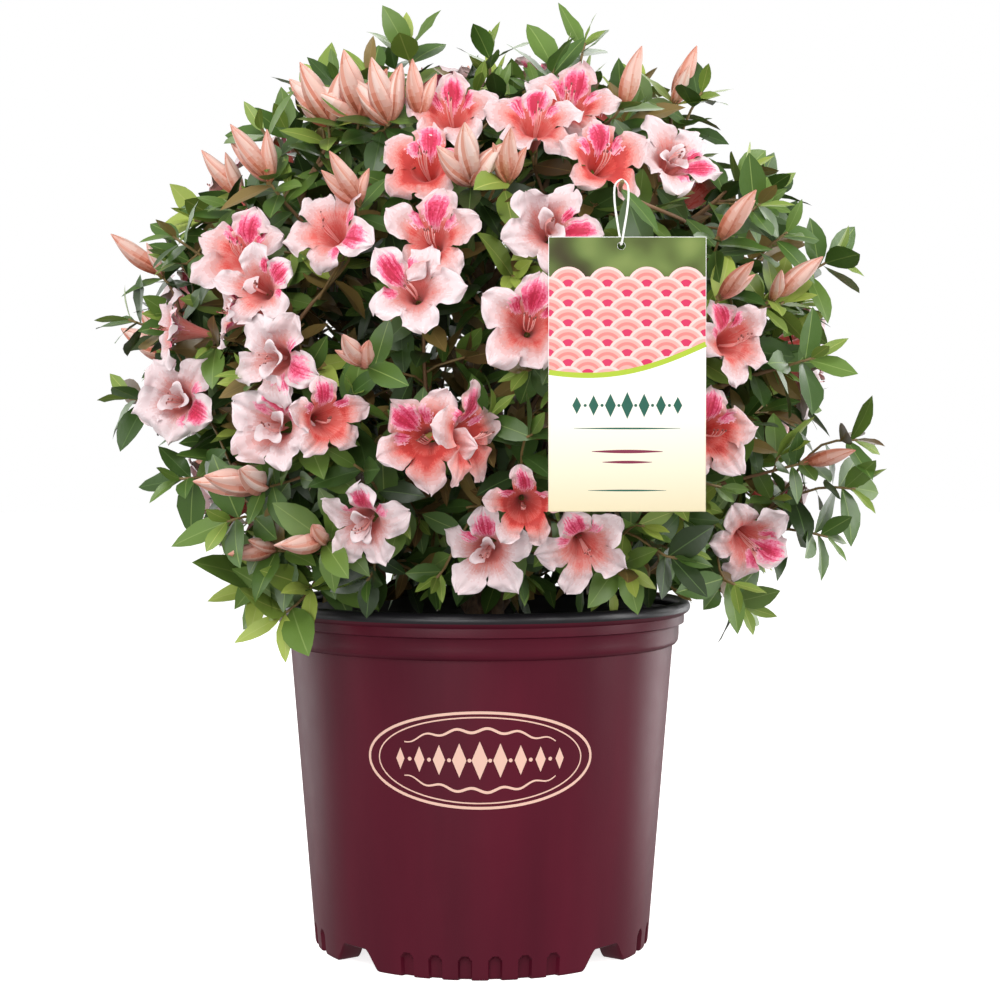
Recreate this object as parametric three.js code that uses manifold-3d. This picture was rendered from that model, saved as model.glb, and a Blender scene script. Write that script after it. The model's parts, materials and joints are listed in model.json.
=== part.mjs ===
// A reblooming azalea in its nursery pot: a rounded evergreen shrub in full bloom, with the card
// that hangs in its crown. Millimetres, +Z up, +X to the right seen from the front, +Y away.
// Everything is laid out from the pot's own axis. At the end the whole plant is moved sideways,
// so that the origin is on the level of the pot's underside, under the middle of the outline.

import * as THREE from 'three';
import { mergeVertices } from 'three/addons/utils/BufferGeometryUtils.js';
import Module from 'manifold-3d';

const wasm = await Module();
wasm.setup();
const { Manifold, Mesh } = wasm;

// Seats: pieces that touch keep this much air between them
const GAP = 0.3;

// Corners that stand out less than this from the faces round them are left out of a join. The
// first value that still gives one closed body, with corners this far apart, is used.
const SMOOTHINGS = [0.2, 0.24, 0.28, 0.16, 0.12, 0.32, 0.08, 0.04];
const CORNER_SPACING = 0.02;

// Pot: blow-moulded, with a rolled rim, a neck, a band under it and four feet
const POT_HEIGHT = 240;
const POT_SIDES = 36;
const WALL = 2;
const FOOT_RADIUS = 117.6;
const FOOT_INNER_RADIUS = 101;
const SHOULDER_RADIUS = 134.5;
const SHOULDER_HEIGHT = 207;
const BAND_LOW_RADIUS = 138;
const BAND_LOW_HEIGHT = 211;
const BAND_TOP_RADIUS = 139;
const BAND_TOP_HEIGHT = 222;
const NECK_RADIUS = 142.5;
const NECK_HEIGHT = 224.5;
const ROLL_RADIUS = 4.5;
const FLOOR_UNDER = 14;
const FLOOR_TOP = 17;
const FOOT_NOTCHES = [45, 135, 225, 315];
const NOTCH_HEIGHT = 13;
const NOTCH_HALF_WIDTH = 20;
const NOTCH_SHOULDER_HALF_WIDTH = 15;
const NOTCH_TOP_HALF_WIDTH = 13;
const NOTCH_CHAMFER = 2;

// Growing mix: a plug that fills the pot to a little under the band
const SOIL_TOP = 212;

// Trunk: short, leaning a little to the right, flared at the ground
const TRUNK_SIDES = 10;
const TRUNK_LENGTH = 46;
const TRUNK_LEAN = 5;
const TRUNK_FLARE_RADIUS = 19;
const TRUNK_FOOT_RADIUS = 14;
const TRUNK_TOP_RADIUS = 12;

// Crown: an upright egg of shoots that starts over the rim
const CROWN = new THREE.Vector3(6, 0, 410);
const CROWN_WIDE = 270;
const CROWN_TALL = 240;

// Three tiers of foliage masses. Each mass has a stem that starts at footOut from the middle and
// at footUp over the ground, heading out and up at footRise degrees.
const TIERS = {
  top: { rise: 90, footOut: 8, footUp: 466, footRise: 86 },
  upper: { rise: 38, footOut: 80, footUp: 412, footRise: 52 },
  lower: { rise: -8, footOut: 90, footUp: 318, footRise: 22 },
};

// The masses by name, tier and turn, in degrees from the front towards +X. What shows from the
// front is placed by turn and rise, in degrees: open blooms, with a third value where the face
// is turned further to the right, bud clusters, and the leafy shoots that stand out furthest,
// with a third value for their reach as a share of the crown's radius.
const MASSES = [
  { name: 'top', tier: 'top', turn: 0, shoots: [[43, 66]] },
  {
    name: 'upper_front', tier: 'upper', turn: 5,
    blooms: [[-7, 37], [-10, 26], [9, 35], [19, 41], [19, 28]],
    buds: [[-14, 39], [-3, 25], [3, 25], [30, 43]],
  },
  {
    name: 'upper_right', tier: 'upper', turn: 62,
    blooms: [[36, 30]], buds: [[64, 52]], shoots: [[63, 48], [46, 21]], hook: true,
  },
  { name: 'upper_right_rear', tier: 'upper', turn: 121 },
  { name: 'upper_rear', tier: 'upper', turn: 180 },
  { name: 'upper_left_rear', tier: 'upper', turn: -121 },
  {
    name: 'upper_left', tier: 'upper', turn: -50,
    buds: [[-34, 39], [-27, 40], [-20, 38], [-42, 28]], shoots: [[-28, 47], [-46, 35]],
  },
  {
    name: 'lower_front', tier: 'lower', turn: 2,
    blooms: [
      [-11, 6], [-8, 14], [10, 16], [6, 1], [-9, -15], [-2, -15, 55], [1, -35], [6, -26], [18, -33],
    ],
    buds: [[-18, -2]],
  },
  {
    name: 'lower_front_right', tier: 'lower', turn: 46,
    blooms: [[38, 0], [37, -14], [62, -33]],
    buds: [[38, 17], [49, 9], [36, 8], [68, -16]], shoots: [[51, 17], [54, -1]],
  },
  {
    name: 'lower_right', tier: 'lower', turn: 92,
    shoots: [[70, 15], [78, -12, 1.04], [78, -19, 1.08], [78, -27, 1.08], [76, -43, 1.05]],
  },
  { name: 'lower_rear_right', tier: 'lower', turn: 137 },
  { name: 'lower_rear', tier: 'lower', turn: 182 },
  { name: 'lower_rear_left', tier: 'lower', turn: -133 },
  {
    name: 'lower_left', tier: 'lower', turn: -82,
    buds: [[-76, 15]], shoots: [[-76, 6], [-78, -6]],
  },
  {
    name: 'lower_front_left', tier: 'lower', turn: -36,
    blooms: [
      [-43, 13], [-42, 4], [-34, 8], [-32, -2], [-58, -9], [-34, -13], [-24, 15], [-23, -12, 45],
      [-21, -28], [-60, 3, -25],
    ],
    buds: [[-41, -20], [-32, -30], [-46, -32], [-21, 22]],
    shoots: [[-57, 17], [-59, -19], [-49, -26], [-57, -40], [-46, -49, 1.08]],
  },
];

// Limbs: one tapering bough to each upper mass, and a side limb off a bough to each lower mass
const LIMB_SIDES = 6;
const LIMB_STEPS = 4;
const LIMB_END = 8;
const LIMB_TIP_RADIUS = 3.4;
const LIMB_TAPER = 0.8;
const BOUGH_RADIUS = 6.2;
const LEADER_RADIUS = 7.5;
const SIDE_LIMB_RADIUS = 4.6;
const BOUGH_STARTS = [0.6, 0.24];
const BOUGH_RISE = 36;
const LEADER_RISE = 88;
const SIDE_LIMB_STARTS = [0.22, 0.4];
const SIDE_LIMB_RISE = 10;
const SIDE_LIMB_TURN = 0.55;

// Twigs inside a mass
const TWIG_STEP = 42;
const TWIG_TIP_RADIUS = 1.5;
const TWIG_THICKENING = 0.4;
const PATH_COST = 0.45;
const WIDEST_FORK = 0.2;
const FORK_TURN = 0.6;
const FORK_PLACES = [0.35, 0.75];
const STEM_LENGTH = 14;

// Shoot tips that the seeded rule adds, spread evenly over an outer and an inner shell
const SEED = 5081;
const OUTER_TIPS = 104;
const INNER_TIPS = 18;
const INNER_SHELL = 0.7;
const TIP_SPACING = 52;
const LOWEST_TIP = 262;
const BLOSSOM_SPACING = 60;
const REACHES = [0.93, 1];
const LOOK_SPREAD = 50;
const FRONT_TURN = 72;
const FRONT_RISE = 60;
const BLOOM_SHARE = 0.42;
const BUD_SHARE = 0.3;

// Sizes of what the shoots carry
const BLOOM_RADIUS = 32;
const BLOOM_DEPTH = 34;
const BLOOM_SHELL = 0.9;
const BUD_LENGTH = 36;
const BUD_RADIUS = 6.5;
const BUD_SHELL = 0.95;
const NECK_OF_BLOOM = 3.6;
const NECK_OF_BUD = 3;
const NECK_LENGTH = 2;

// A bloom's lobe: turn from its middle, reach as a share of the radius, and lift
const LOBE_OUTLINE = [[-36, 0.56, -5], [-15, 1, 0], [15, 1, 0]];

const LEAF_LENGTH = 64;
const LEAF_WIDTH = 30;
const LEAF_THICKNESS = 2.4;
const LEAF_FOLD = 3.5;
const LEAF_ROOT = 0.1;
const WHORL = 5;
const WHORL_STEP = 5;
const STEM_LEAF_STEP = 34;
const LEAF_SIZES = [0.85, 1.1];
const LEAF_DROOP = 0.1;
const LAST_LEAF = 14;
const WIDEST_SPREAD = 1.4;
const SPREAD_STEP = 0.16;
const LEAF_START = { shoot: 1.5, bloom: 7, bud: 8 };
const FIRST_SPREAD = { shoot: 0.35, bloom: 1.3, bud: 0.9 };

// How far each kind turns from straight out: blooms to the front and up, buds and shoots up
const FORWARD_FACING = 0.45;
const UPWARD = { bloom: 0.12, bud: 0.5, shoot: 0.25 };

// Space round each tip that its own mass keeps, and the margin left between masses and limbs
const SPACE = { bloom: 34, bud: 22, shoot: 26, hook: 12, twig: 6 };
const MARGIN = 1.5;
const LIMB_CLEARANCE = 2.5;
const LIMB_PROBES = 40;
const OWN_LIMB_TIP = 0.85;
const PROBE_STEP = 7;
const LEAF_CLEARANCE = 3;
const LEAF_STALK = 9;
const FOOT_ROOM = 12;
const BLOSSOM_SIZES = [1, 0.88, 0.76, 0.64];

// Height that twigs and leaves keep: over the growing mix, over the rim, and outside the pot
const SOIL_CLEARANCE = 8;
const RIM_CLEARANCE = 3;
const RIM_INSIDE = NECK_RADIUS - ROLL_RADIUS - 6;
const RIM_OUTSIDE = NECK_RADIUS + ROLL_RADIUS + 3;
const LOWEST_OUTSIDE = 205;

// Card: portrait, hung by a thin loop over a twig that juts out at the upper right
const CARD_WIDTH = 89;
const CARD_HEIGHT = 155;
const CARD_THICKNESS = 0.8;
const CARD_CENTRE = new THREE.Vector3(84.7, -262, 384.8);
const CARD_HOLE = new THREE.Vector2(81.3, 457.3);
const CARD_HOLE_RADIUS = 2.2;
const CARD_CLEARANCE = 5;
const LOOP_RADIUS = 0.6;
const LOOP_HALF_WIDTH = 4;
const LOOP_CLEARANCE = 3;
const HOOK_UP = 492;
const HOOK_CLEARANCE = 6;
const HOOK_PAST_CARD = 9;

const COLOURS = {
  pot: new THREE.Color(0x5a1c28),
  soil: new THREE.Color(0x2b211b),
  bark: new THREE.Color(0x6b4a35),
  foliage: new THREE.Color(0x4d7a35),
  card: new THREE.Color(0xe9e2cf),
  loop: new THREE.Color(0xf4f4f2),
};

const GOLDEN_ANGLE = Math.PI * (3 - Math.sqrt(5));
const UP = new THREE.Vector3(0, 0, 1);
const FRONT = new THREE.Vector3(0, -1, 0);

// Small helpers

function radians(angle) {
  return THREE.MathUtils.degToRad(angle);
}

function degrees(angle) {
  return THREE.MathUtils.radToDeg(angle);
}

function vector(x, y, z) {
  return new THREE.Vector3(x, y, z);
}

function mixed(a, b, share) {
  return a.clone().lerp(b, share);
}

function along(start, way, distance) {
  return start.clone().addScaledVector(way, distance);
}

// The same numbers from the same seed, between 0 and 1
function seededRandom(seed) {
  let state = seed >>> 0;
  return () => {
    state = (state + 0x6d2b79f5) >>> 0;
    let t = Math.imul(state ^ (state >>> 15), 1 | state);
    t = (t + Math.imul(t ^ (t >>> 7), 61 | t)) ^ t;
    return ((t ^ (t >>> 14)) >>> 0) / 4294967296;
  };
}

// A unit vector square to another, turned about it by an angle
function sideways(way, angle) {
  const reference = Math.abs(way.z) < 0.9 ? UP : vector(1, 0, 0);
  const across = reference.clone().cross(way).normalize();
  const over = way.clone().cross(across);
  return across.multiplyScalar(Math.cos(angle)).addScaledVector(over, Math.sin(angle));
}

function heading(turn, rise) {
  const flat = Math.cos(radians(rise));
  return vector(
    Math.sin(radians(turn)) * flat, -Math.cos(radians(turn)) * flat, Math.sin(radians(rise)),
  );
}

// The crown's radius in a direction from its centre
function crownRadius(way) {
  return 1 / Math.hypot(way.x / CROWN_WIDE, way.y / CROWN_WIDE, way.z / CROWN_TALL);
}

function onShell(way, share) {
  return along(CROWN, way, crownRadius(way) * share);
}

// Closed faceted geometry from corner points and triangles
function facets(points, triangles) {
  const geometry = new THREE.BufferGeometry();
  const numbers = points.flatMap((point) => point.toArray());
  geometry.setAttribute('position', new THREE.Float32BufferAttribute(numbers, 3));
  geometry.setIndex(triangles);
  return geometry;
}

// Along a row of points: the direction at each one, and two directions square to it that don't
// twist from one point to the next
function framesAlong(points, roll) {
  const last = points.length - 1;
  const frames = [];
  points.forEach((at, i) => {
    const way = points[Math.min(i + 1, last)].clone().sub(points[Math.max(i - 1, 0)]).normalize();
    const before = i > 0 ? frames[i - 1].across.clone() : sideways(way, roll);
    const across = before.addScaledVector(way, -before.dot(way)).normalize();
    frames.push({ at, way, across, over: way.clone().cross(across) });
  });
  return frames;
}

function outward(frame, angle) {
  const out = frame.across.clone().multiplyScalar(Math.cos(angle));
  return out.addScaledVector(frame.over, Math.sin(angle));
}

// A tapering tube with flat ends: radii has one value for each frame
function taperingTube(frames, radii, sides) {
  const turn = (2 * Math.PI) / sides;
  const corners = frames.flatMap((frame, i) => (
    Array.from({ length: sides }, (_, side) => along(frame.at, outward(frame, side * turn), radii[i]))
  ));
  const triangles = [];
  const lastRing = (frames.length - 1) * sides;
  for (let ring = 0; ring < lastRing; ring += sides) {
    for (let side = 0; side < sides; side += 1) {
      const a = ring + side;
      const b = ring + ((side + 1) % sides);
      triangles.push(a, b, b + sides, a, b + sides, a + sides);
    }
  }
  for (let side = 1; side < sides - 1; side += 1) {
    triangles.push(0, side + 1, side, lastRing, lastRing + side, lastRing + side + 1);
  }
  return facets(corners, triangles);
}

// Joins and cuts

// The triangles left once corners closer than spacing are one, and those corners
function mergedFacets(geometry, spacing) {
  const bare = geometry.clone();
  bare.deleteAttribute('normal');
  bare.deleteAttribute('uv');
  const merged = mergeVertices(bare, spacing);
  const index = Array.from(merged.index.array);
  const triangles = [];
  for (let i = 0; i < index.length; i += 3) {
    const [a, b, c] = index.slice(i, i + 3);
    if (a !== b && b !== c && c !== a) triangles.push(a, b, c);
  }
  return { corners: Float32Array.from(merged.attributes.position.array), triangles };
}

function solidOf({ corners, triangles }) {
  return new Manifold(new Mesh({
    numProp: 3, vertProperties: corners, triVerts: Uint32Array.from(triangles),
  }));
}

function toSolid(geometry) {
  return solidOf(mergedFacets(geometry, 1e-4));
}

function toGeometry(solid) {
  const mesh = solid.getMesh();
  const geometry = new THREE.BufferGeometry();
  geometry.setAttribute('position', new THREE.Float32BufferAttribute(mesh.vertProperties, 3));
  geometry.setIndex(Array.from(mesh.triVerts));
  return geometry;
}

// The largest connected body of a join: loose scraps are dropped and sealed hollows are filled
function mainBody(solid) {
  return solid.decompose().reduce((best, piece) => (piece.volume() > best.volume() ? piece : best));
}

// Whether each edge has one face on each side of it
function edgesPair(triangles) {
  const edges = new Set();
  for (let i = 0; i < triangles.length; i += 3) {
    const [a, b, c] = triangles.slice(i, i + 3);
    for (const edge of [`${a} ${b}`, `${b} ${c}`, `${c} ${a}`]) edges.add(edge);
  }
  return edges.size === triangles.length;
}

// The same solid with corners that lie very close made one, or null where that breaks its surface
function welded(solid) {
  const facetsLeft = mergedFacets(toGeometry(solid), CORNER_SPACING);
  if (!edgesPair(facetsLeft.triangles)) return null;
  try {
    const again = solidOf(facetsLeft);
    return again.decompose().length === 1 ? again : null;
  } catch {
    return null;
  }
}

function smoothed(solid) {
  const whole = solid.asOriginal();
  for (const smoothing of SMOOTHINGS) {
    const result = welded(mainBody(whole.simplify(smoothing)));
    if (result) return result;
  }
  return solid;
}

function fuse(geometries) {
  return smoothed(mainBody(Manifold.union(geometries.map(toSolid))));
}

function cutClear(geometry, obstacles) {
  return obstacles.reduce((left, obstacle) => left.subtract(toSolid(obstacle)), toSolid(geometry));
}

// Pot and growing mix

// The outside of the straight wall at a height
function wallRadius(height) {
  return FOOT_RADIUS + (SHOULDER_RADIUS - FOOT_RADIUS) * (height / SHOULDER_HEIGHT);
}

// The rolled rim's section: round from its underside, over the outside and the top, to its inside
function rollPoints() {
  const step = 45;
  const points = [];
  for (let angle = -step; angle <= 180 + step; angle += step) {
    points.push(new THREE.Vector2(
      NECK_RADIUS + ROLL_RADIUS * Math.cos(radians(angle)),
      POT_HEIGHT - ROLL_RADIUS + ROLL_RADIUS * Math.sin(radians(angle)),
    ));
  }
  return points;
}

function potProfile() {
  const at = (radius, height) => new THREE.Vector2(radius, height);
  return [
    at(0, FLOOR_UNDER),
    at(FOOT_INNER_RADIUS, FLOOR_UNDER),
    at(FOOT_INNER_RADIUS, 0),
    at(FOOT_RADIUS, 0),
    at(SHOULDER_RADIUS, SHOULDER_HEIGHT),
    at(BAND_LOW_RADIUS, BAND_LOW_HEIGHT),
    at(BAND_TOP_RADIUS, BAND_TOP_HEIGHT),
    at(NECK_RADIUS, NECK_HEIGHT),
    at(NECK_RADIUS, POT_HEIGHT - 2 * ROLL_RADIUS),
    ...rollPoints(),
    at(NECK_RADIUS - WALL, NECK_HEIGHT + WALL),
    at(BAND_TOP_RADIUS - WALL, BAND_TOP_HEIGHT),
    at(SHOULDER_RADIUS - WALL, SHOULDER_HEIGHT + 1),
    at(wallRadius(FLOOR_TOP) - WALL, FLOOR_TOP),
    at(0, FLOOR_TOP),
  ];
}

function lathe(profile) {
  return new THREE.LatheGeometry(profile, POT_SIDES).rotateX(Math.PI / 2);
}

// The gap between two feet: a block with sloping ends that runs out through the foot ring
function footNotch(turn) {
  const below = -4;
  const outline = new THREE.Shape([
    new THREE.Vector2(-NOTCH_HALF_WIDTH, below),
    new THREE.Vector2(NOTCH_HALF_WIDTH, below),
    new THREE.Vector2(NOTCH_SHOULDER_HALF_WIDTH, NOTCH_HEIGHT - NOTCH_CHAMFER),
    new THREE.Vector2(NOTCH_TOP_HALF_WIDTH, NOTCH_HEIGHT),
    new THREE.Vector2(-NOTCH_TOP_HALF_WIDTH, NOTCH_HEIGHT),
    new THREE.Vector2(-NOTCH_SHOULDER_HALF_WIDTH, NOTCH_HEIGHT - NOTCH_CHAMFER),
  ]);
  const start = FOOT_INNER_RADIUS - 16;
  const depth = FOOT_RADIUS + 17 - start;
  const block = new THREE.ExtrudeGeometry(outline, { depth, bevelEnabled: false });
  return block.rotateX(Math.PI / 2).translate(0, -start, 0).rotateZ(radians(turn));
}

function buildPot() {
  const notches = FOOT_NOTCHES.map(footNotch);
  return mainBody(cutClear(lathe(potProfile()), notches));
}

function buildSoil() {
  const at = (radius, height) => new THREE.Vector2(radius, height);
  return toSolid(lathe([
    at(0, FLOOR_TOP + GAP),
    at(wallRadius(FLOOR_TOP) - WALL - GAP, FLOOR_TOP + GAP),
    at(SHOULDER_RADIUS - WALL - GAP, SHOULDER_HEIGHT + 1),
    at(SHOULDER_RADIUS - WALL + 1, SOIL_TOP),
    at(0, SOIL_TOP),
  ]));
}

// Trunk and limbs

function trunkPoint(share) {
  return vector(TRUNK_LEAN * share, 0, SOIL_TOP + GAP + TRUNK_LENGTH * share);
}

// Radius up the trunk: a flare that fades in the first quarter, then an even taper
function trunkRadius(share) {
  const flare = Math.max(0, 1 - share * 4) ** 2 * (TRUNK_FLARE_RADIUS - TRUNK_FOOT_RADIUS);
  return TRUNK_FOOT_RADIUS + (TRUNK_TOP_RADIUS - TRUNK_FOOT_RADIUS) * share + flare;
}

// Every ring of the trunk lies level, so its foot is a flat cut on the ground
function trunkGeometry(extra) {
  const shares = [0, 0.08, 0.2, 0.5, 0.85, 1];
  const profile = shares.map((share) => {
    const lift = share === 1 ? extra : 0;
    return new THREE.Vector2(trunkRadius(share) + extra, TRUNK_LENGTH * share + lift);
  });
  profile.unshift(new THREE.Vector2(0, 0));
  profile.push(new THREE.Vector2(0, TRUNK_LENGTH + extra));
  const geometry = new THREE.LatheGeometry(profile, TRUNK_SIDES).rotateX(Math.PI / 2);
  const leaning = new THREE.Matrix4().set(
    1, 0, TRUNK_LEAN / TRUNK_LENGTH, 0,
    0, 1, 0, 0,
    0, 0, 1, SOIL_TOP + GAP,
    0, 0, 0, 1,
  );
  return geometry.applyMatrix4(leaning);
}

// Where a mass's stem starts, and which way it heads
function stemFoot(mass) {
  const tier = TIERS[mass.tier];
  const out = heading(mass.turn, 0);
  return {
    at: along(vector(CROWN.x, CROWN.y, tier.footUp), out, tier.footOut),
    way: heading(mass.turn, tier.footRise),
  };
}

function limbCurve(start, startWay, end, endWay) {
  const reach = start.distanceTo(end) / 3;
  return new THREE.CubicBezierCurve3(start, along(start, startWay, reach), along(end, endWay, -reach), end);
}

// A limb: one curve that ends in a short straight piece, with a radius that tapers from its foot
// to its tip. grow makes its tube, thicker all round by extra.
function makeLimb(name, start, startWay, mass, footRadius) {
  const foot = stemFoot(mass);
  const end = along(foot.at, foot.way, -GAP);
  const curve = limbCurve(start, startWay, along(end, foot.way, -LIMB_END), foot.way);
  const points = [...curve.getPoints(LIMB_STEPS), end];
  const radiusAt = (share) => THREE.MathUtils.lerp(footRadius, LIMB_TIP_RADIUS, share ** LIMB_TAPER);
  const radii = points.map((_, i) => radiusAt(Math.min(1, i / LIMB_STEPS)));
  const grow = (extra) => taperingTube(framesAlong(points, 0), radii.map((r) => r + extra), LIMB_SIDES);
  return { name, mass, curve, radiusAt, end, grow };
}

function nearestByTurn(masses, turn) {
  const apart = (mass) => 1 - Math.cos(radians(mass.turn - turn));
  return masses.reduce((best, mass) => (apart(mass) < apart(best) ? mass : best));
}

function makeBough(mass, order) {
  const leader = mass.tier === 'top';
  const start = trunkPoint(leader ? 1 : BOUGH_STARTS[order % 2]);
  const startWay = heading(mass.turn, leader ? LEADER_RISE : BOUGH_RISE);
  const limb = makeLimb(`bough_${mass.name}`, start, startWay, mass, leader ? LEADER_RADIUS : BOUGH_RADIUS);
  return { ...limb, parent: null, carried: 0 };
}

function makeSideLimb(mass, boughs) {
  const hosts = boughs.map((bough) => bough.mass).filter((host) => host.tier === 'upper');
  const host = nearestByTurn(hosts, mass.turn);
  const parent = boughs.find((bough) => bough.mass === host);
  const share = SIDE_LIMB_STARTS[parent.carried];
  parent.carried += 1;
  const start = parent.curve.getPoint(share);
  const outwards = heading(mass.turn, SIDE_LIMB_RISE);
  const startWay = mixed(parent.curve.getTangent(share), outwards, SIDE_LIMB_TURN).normalize();
  return { ...makeLimb(`limb_${mass.name}`, start, startWay, mass, SIDE_LIMB_RADIUS), parent };
}

function makeLimbs() {
  const boughs = MASSES.filter((mass) => mass.tier !== 'lower').map(makeBough);
  const lower = MASSES.filter((mass) => mass.tier === 'lower');
  return [...boughs, ...lower.map((mass) => makeSideLimb(mass, boughs))];
}

// A limb's solid starts at the surface of what carries it, clear of the limbs before it
function buildLimb(limb, order, limbs) {
  const before = limbs.slice(0, order).map((other) => other.grow(GAP));
  return smoothed(mainBody(cutClear(limb.grow(0), [trunkGeometry(GAP), ...before])));
}

// Shoot tips

function bloomTip(turn, rise, look = 0, forward = FORWARD_FACING) {
  const out = heading(turn, rise);
  const facing = out.clone().addScaledVector(FRONT, forward).addScaledVector(UP, UPWARD.bloom);
  facing.normalize().applyAxisAngle(UP, radians(look));
  const centre = onShell(out, BLOOM_SHELL);
  return { kind: 'bloom', centre, way: facing, end: along(centre, facing, -BLOOM_DEPTH) };
}

function budTip(turn, rise) {
  const out = heading(turn, rise);
  const way = out.clone().addScaledVector(UP, UPWARD.bud).normalize();
  const centre = onShell(out, BUD_SHELL);
  return { kind: 'bud', centre, way, end: along(centre, way, -BUD_LENGTH / 2) };
}

function shootTip(turn, rise, reach = 1) {
  const out = heading(turn, rise);
  const way = out.clone().addScaledVector(UP, UPWARD.shoot).normalize();
  const centre = along(onShell(out, reach), way, -LEAF_LENGTH * 0.5);
  return { kind: 'shoot', centre, way, end: centre.clone() };
}

// The bare twig that the card's loop hangs over: its last stretch is straight and level
function hookTip() {
  const end = vector(CARD_HOLE.x, CARD_CENTRE.y + HOOK_PAST_CARD, HOOK_UP);
  return { kind: 'hook', centre: end, way: FRONT.clone(), end, straight: 2 * HOOK_PAST_CARD };
}

function givenTips(mass) {
  const tips = [
    ...(mass.blooms ?? []).map((spot) => bloomTip(...spot)),
    ...(mass.buds ?? []).map((spot) => budTip(...spot)),
    ...(mass.shoots ?? []).map((spot) => shootTip(...spot)),
  ];
  return mass.hook ? [...tips, hookTip()] : tips;
}

// Directions spread evenly over a sphere
function evenHeadings(count) {
  return Array.from({ length: count }, (_, i) => {
    const up = 1 - (2 * i + 1) / count;
    const turn = degrees(GOLDEN_ANGLE * i) % 360;
    return { turn: turn > 180 ? turn - 360 : turn, rise: degrees(Math.asin(up)) };
  });
}

function seededTip(spot, shell, random) {
  const draw = random();
  const reach = shell * THREE.MathUtils.lerp(...REACHES, random());
  const inFront = Math.abs(spot.turn) < FRONT_TURN && spot.rise < FRONT_RISE;
  if (shell < 1 || inFront || draw > BLOOM_SHARE + BUD_SHARE) return shootTip(spot.turn, spot.rise, reach);
  if (draw < BLOOM_SHARE) return bloomTip(spot.turn, spot.rise, LOOK_SPREAD * (random() - 0.5), 0);
  return budTip(spot.turn, spot.rise);
}

function farFromAll(tip, tips, spacing) {
  return tips.every((other) => other.centre.distanceTo(tip.centre) > spacing);
}

function massTowards(way) {
  const lean = (mass) => heading(mass.turn, TIERS[mass.tier].rise).dot(way);
  return MASSES.reduce((best, mass) => (lean(mass) > lean(best) ? mass : best));
}

// All tips by mass: the given ones first, then the seeded ones where there is room
function gatherTips() {
  const random = seededRandom(SEED);
  const byMass = new Map(MASSES.map((mass) => [mass, givenTips(mass)]));
  const placed = [...byMass.values()].flat();
  const shells = [{ shell: 1, count: OUTER_TIPS }, { shell: INNER_SHELL, count: INNER_TIPS }];
  for (const { shell, count } of shells) {
    for (const spot of evenHeadings(count)) {
      const tip = seededTip(spot, shell, random);
      const room = tip.kind === 'shoot' ? TIP_SPACING : BLOSSOM_SPACING;
      if (tip.end.z > LOWEST_TIP && clearOfThings(tip.centre) && farFromAll(tip, placed, room)) {
        byMass.get(massTowards(heading(spot.turn, spot.rise))).push(tip);
        placed.push(tip);
      }
    }
  }
  return byMass;
}

// Growth: each mass is one tree of twigs

function twigCost(node, tip) {
  const step = tip.end.clone().sub(node.at);
  const reach = step.length();
  const straight = step.normalize().dot(node.way);
  const bent = node.twig !== null && straight < WIDEST_FORK;
  return bent || node.used ? Infinity : reach + PATH_COST * node.path;
}

// A twig curves from a point of the tree to its tip. One more twig can start at each of two
// places along each of its pieces but the last.
function growTwig(nodes, tip) {
  const cheaper = (a, b) => (twigCost(b, tip) < twigCost(a, tip) ? b : a);
  const start = nodes.reduce(cheaper);
  start.used = start.twig !== null;
  const towards = tip.end.clone().sub(start.at).normalize();
  const startWay = mixed(start.way, towards, FORK_TURN).normalize();
  const steps = Math.max(2, Math.round(start.at.distanceTo(tip.end) / TWIG_STEP));
  const points = limbCurve(start.at, startWay, tip.end, tip.way).getPoints(steps);
  if (tip.straight) points.push(along(tip.end, tip.way, tip.straight));
  const twig = { tip, start, points, parent: start.twig };
  let path = start.path;
  for (let piece = 0; piece < steps - 1; piece += 1) {
    const [from, to] = [points[piece], points[piece + 1]];
    const length = from.distanceTo(to);
    const way = to.clone().sub(from).normalize();
    for (const share of FORK_PLACES) {
      const at = mixed(from, to, share);
      nodes.push({ at, way, path: path + length * share, twig, piece, used: false });
    }
    path += length;
  }
  return twig;
}

function growTwigs(mass, tips) {
  const foot = stemFoot(mass);
  const top = along(foot.at, foot.way, STEM_LENGTH);
  const nodes = [{ at: top, way: foot.way, path: 0, twig: null, piece: 0, used: false }];
  const ordered = [...tips].sort((a, b) => a.end.distanceTo(foot.at) - b.end.distanceTo(foot.at));
  return { stem: [foot.at, top], twigs: ordered.map((tip) => growTwig(nodes, tip)) };
}

// Space: a point belongs to the mass whose twig or tip is nearest, with room kept round each tip

function spaceSites(grown) {
  const sites = [];
  grown.forEach(({ stem, twigs }, owner) => {
    for (const point of stem) sites.push({ owner, at: point, room: SPACE.twig });
    for (const twig of twigs) {
      sites.push({ owner, at: twig.tip.centre, room: SPACE[twig.tip.kind] });
      for (const point of twig.points) sites.push({ owner, at: point, room: SPACE.twig });
    }
  });
  return sites;
}

function inOwnSpace(point, owner, sites) {
  let own = Infinity;
  let other = Infinity;
  for (const site of sites) {
    const away = site.at.distanceTo(point) - site.room;
    if (site.owner === owner) own = Math.min(own, away);
    else other = Math.min(other, away);
  }
  return own + MARGIN < other;
}

function clearOfPot(point) {
  const out = Math.hypot(point.x, point.y);
  if (out > RIM_OUTSIDE) return point.z > LOWEST_OUTSIDE;
  return point.z > (out > RIM_INSIDE ? POT_HEIGHT + RIM_CLEARANCE : SOIL_TOP + SOIL_CLEARANCE);
}

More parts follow.
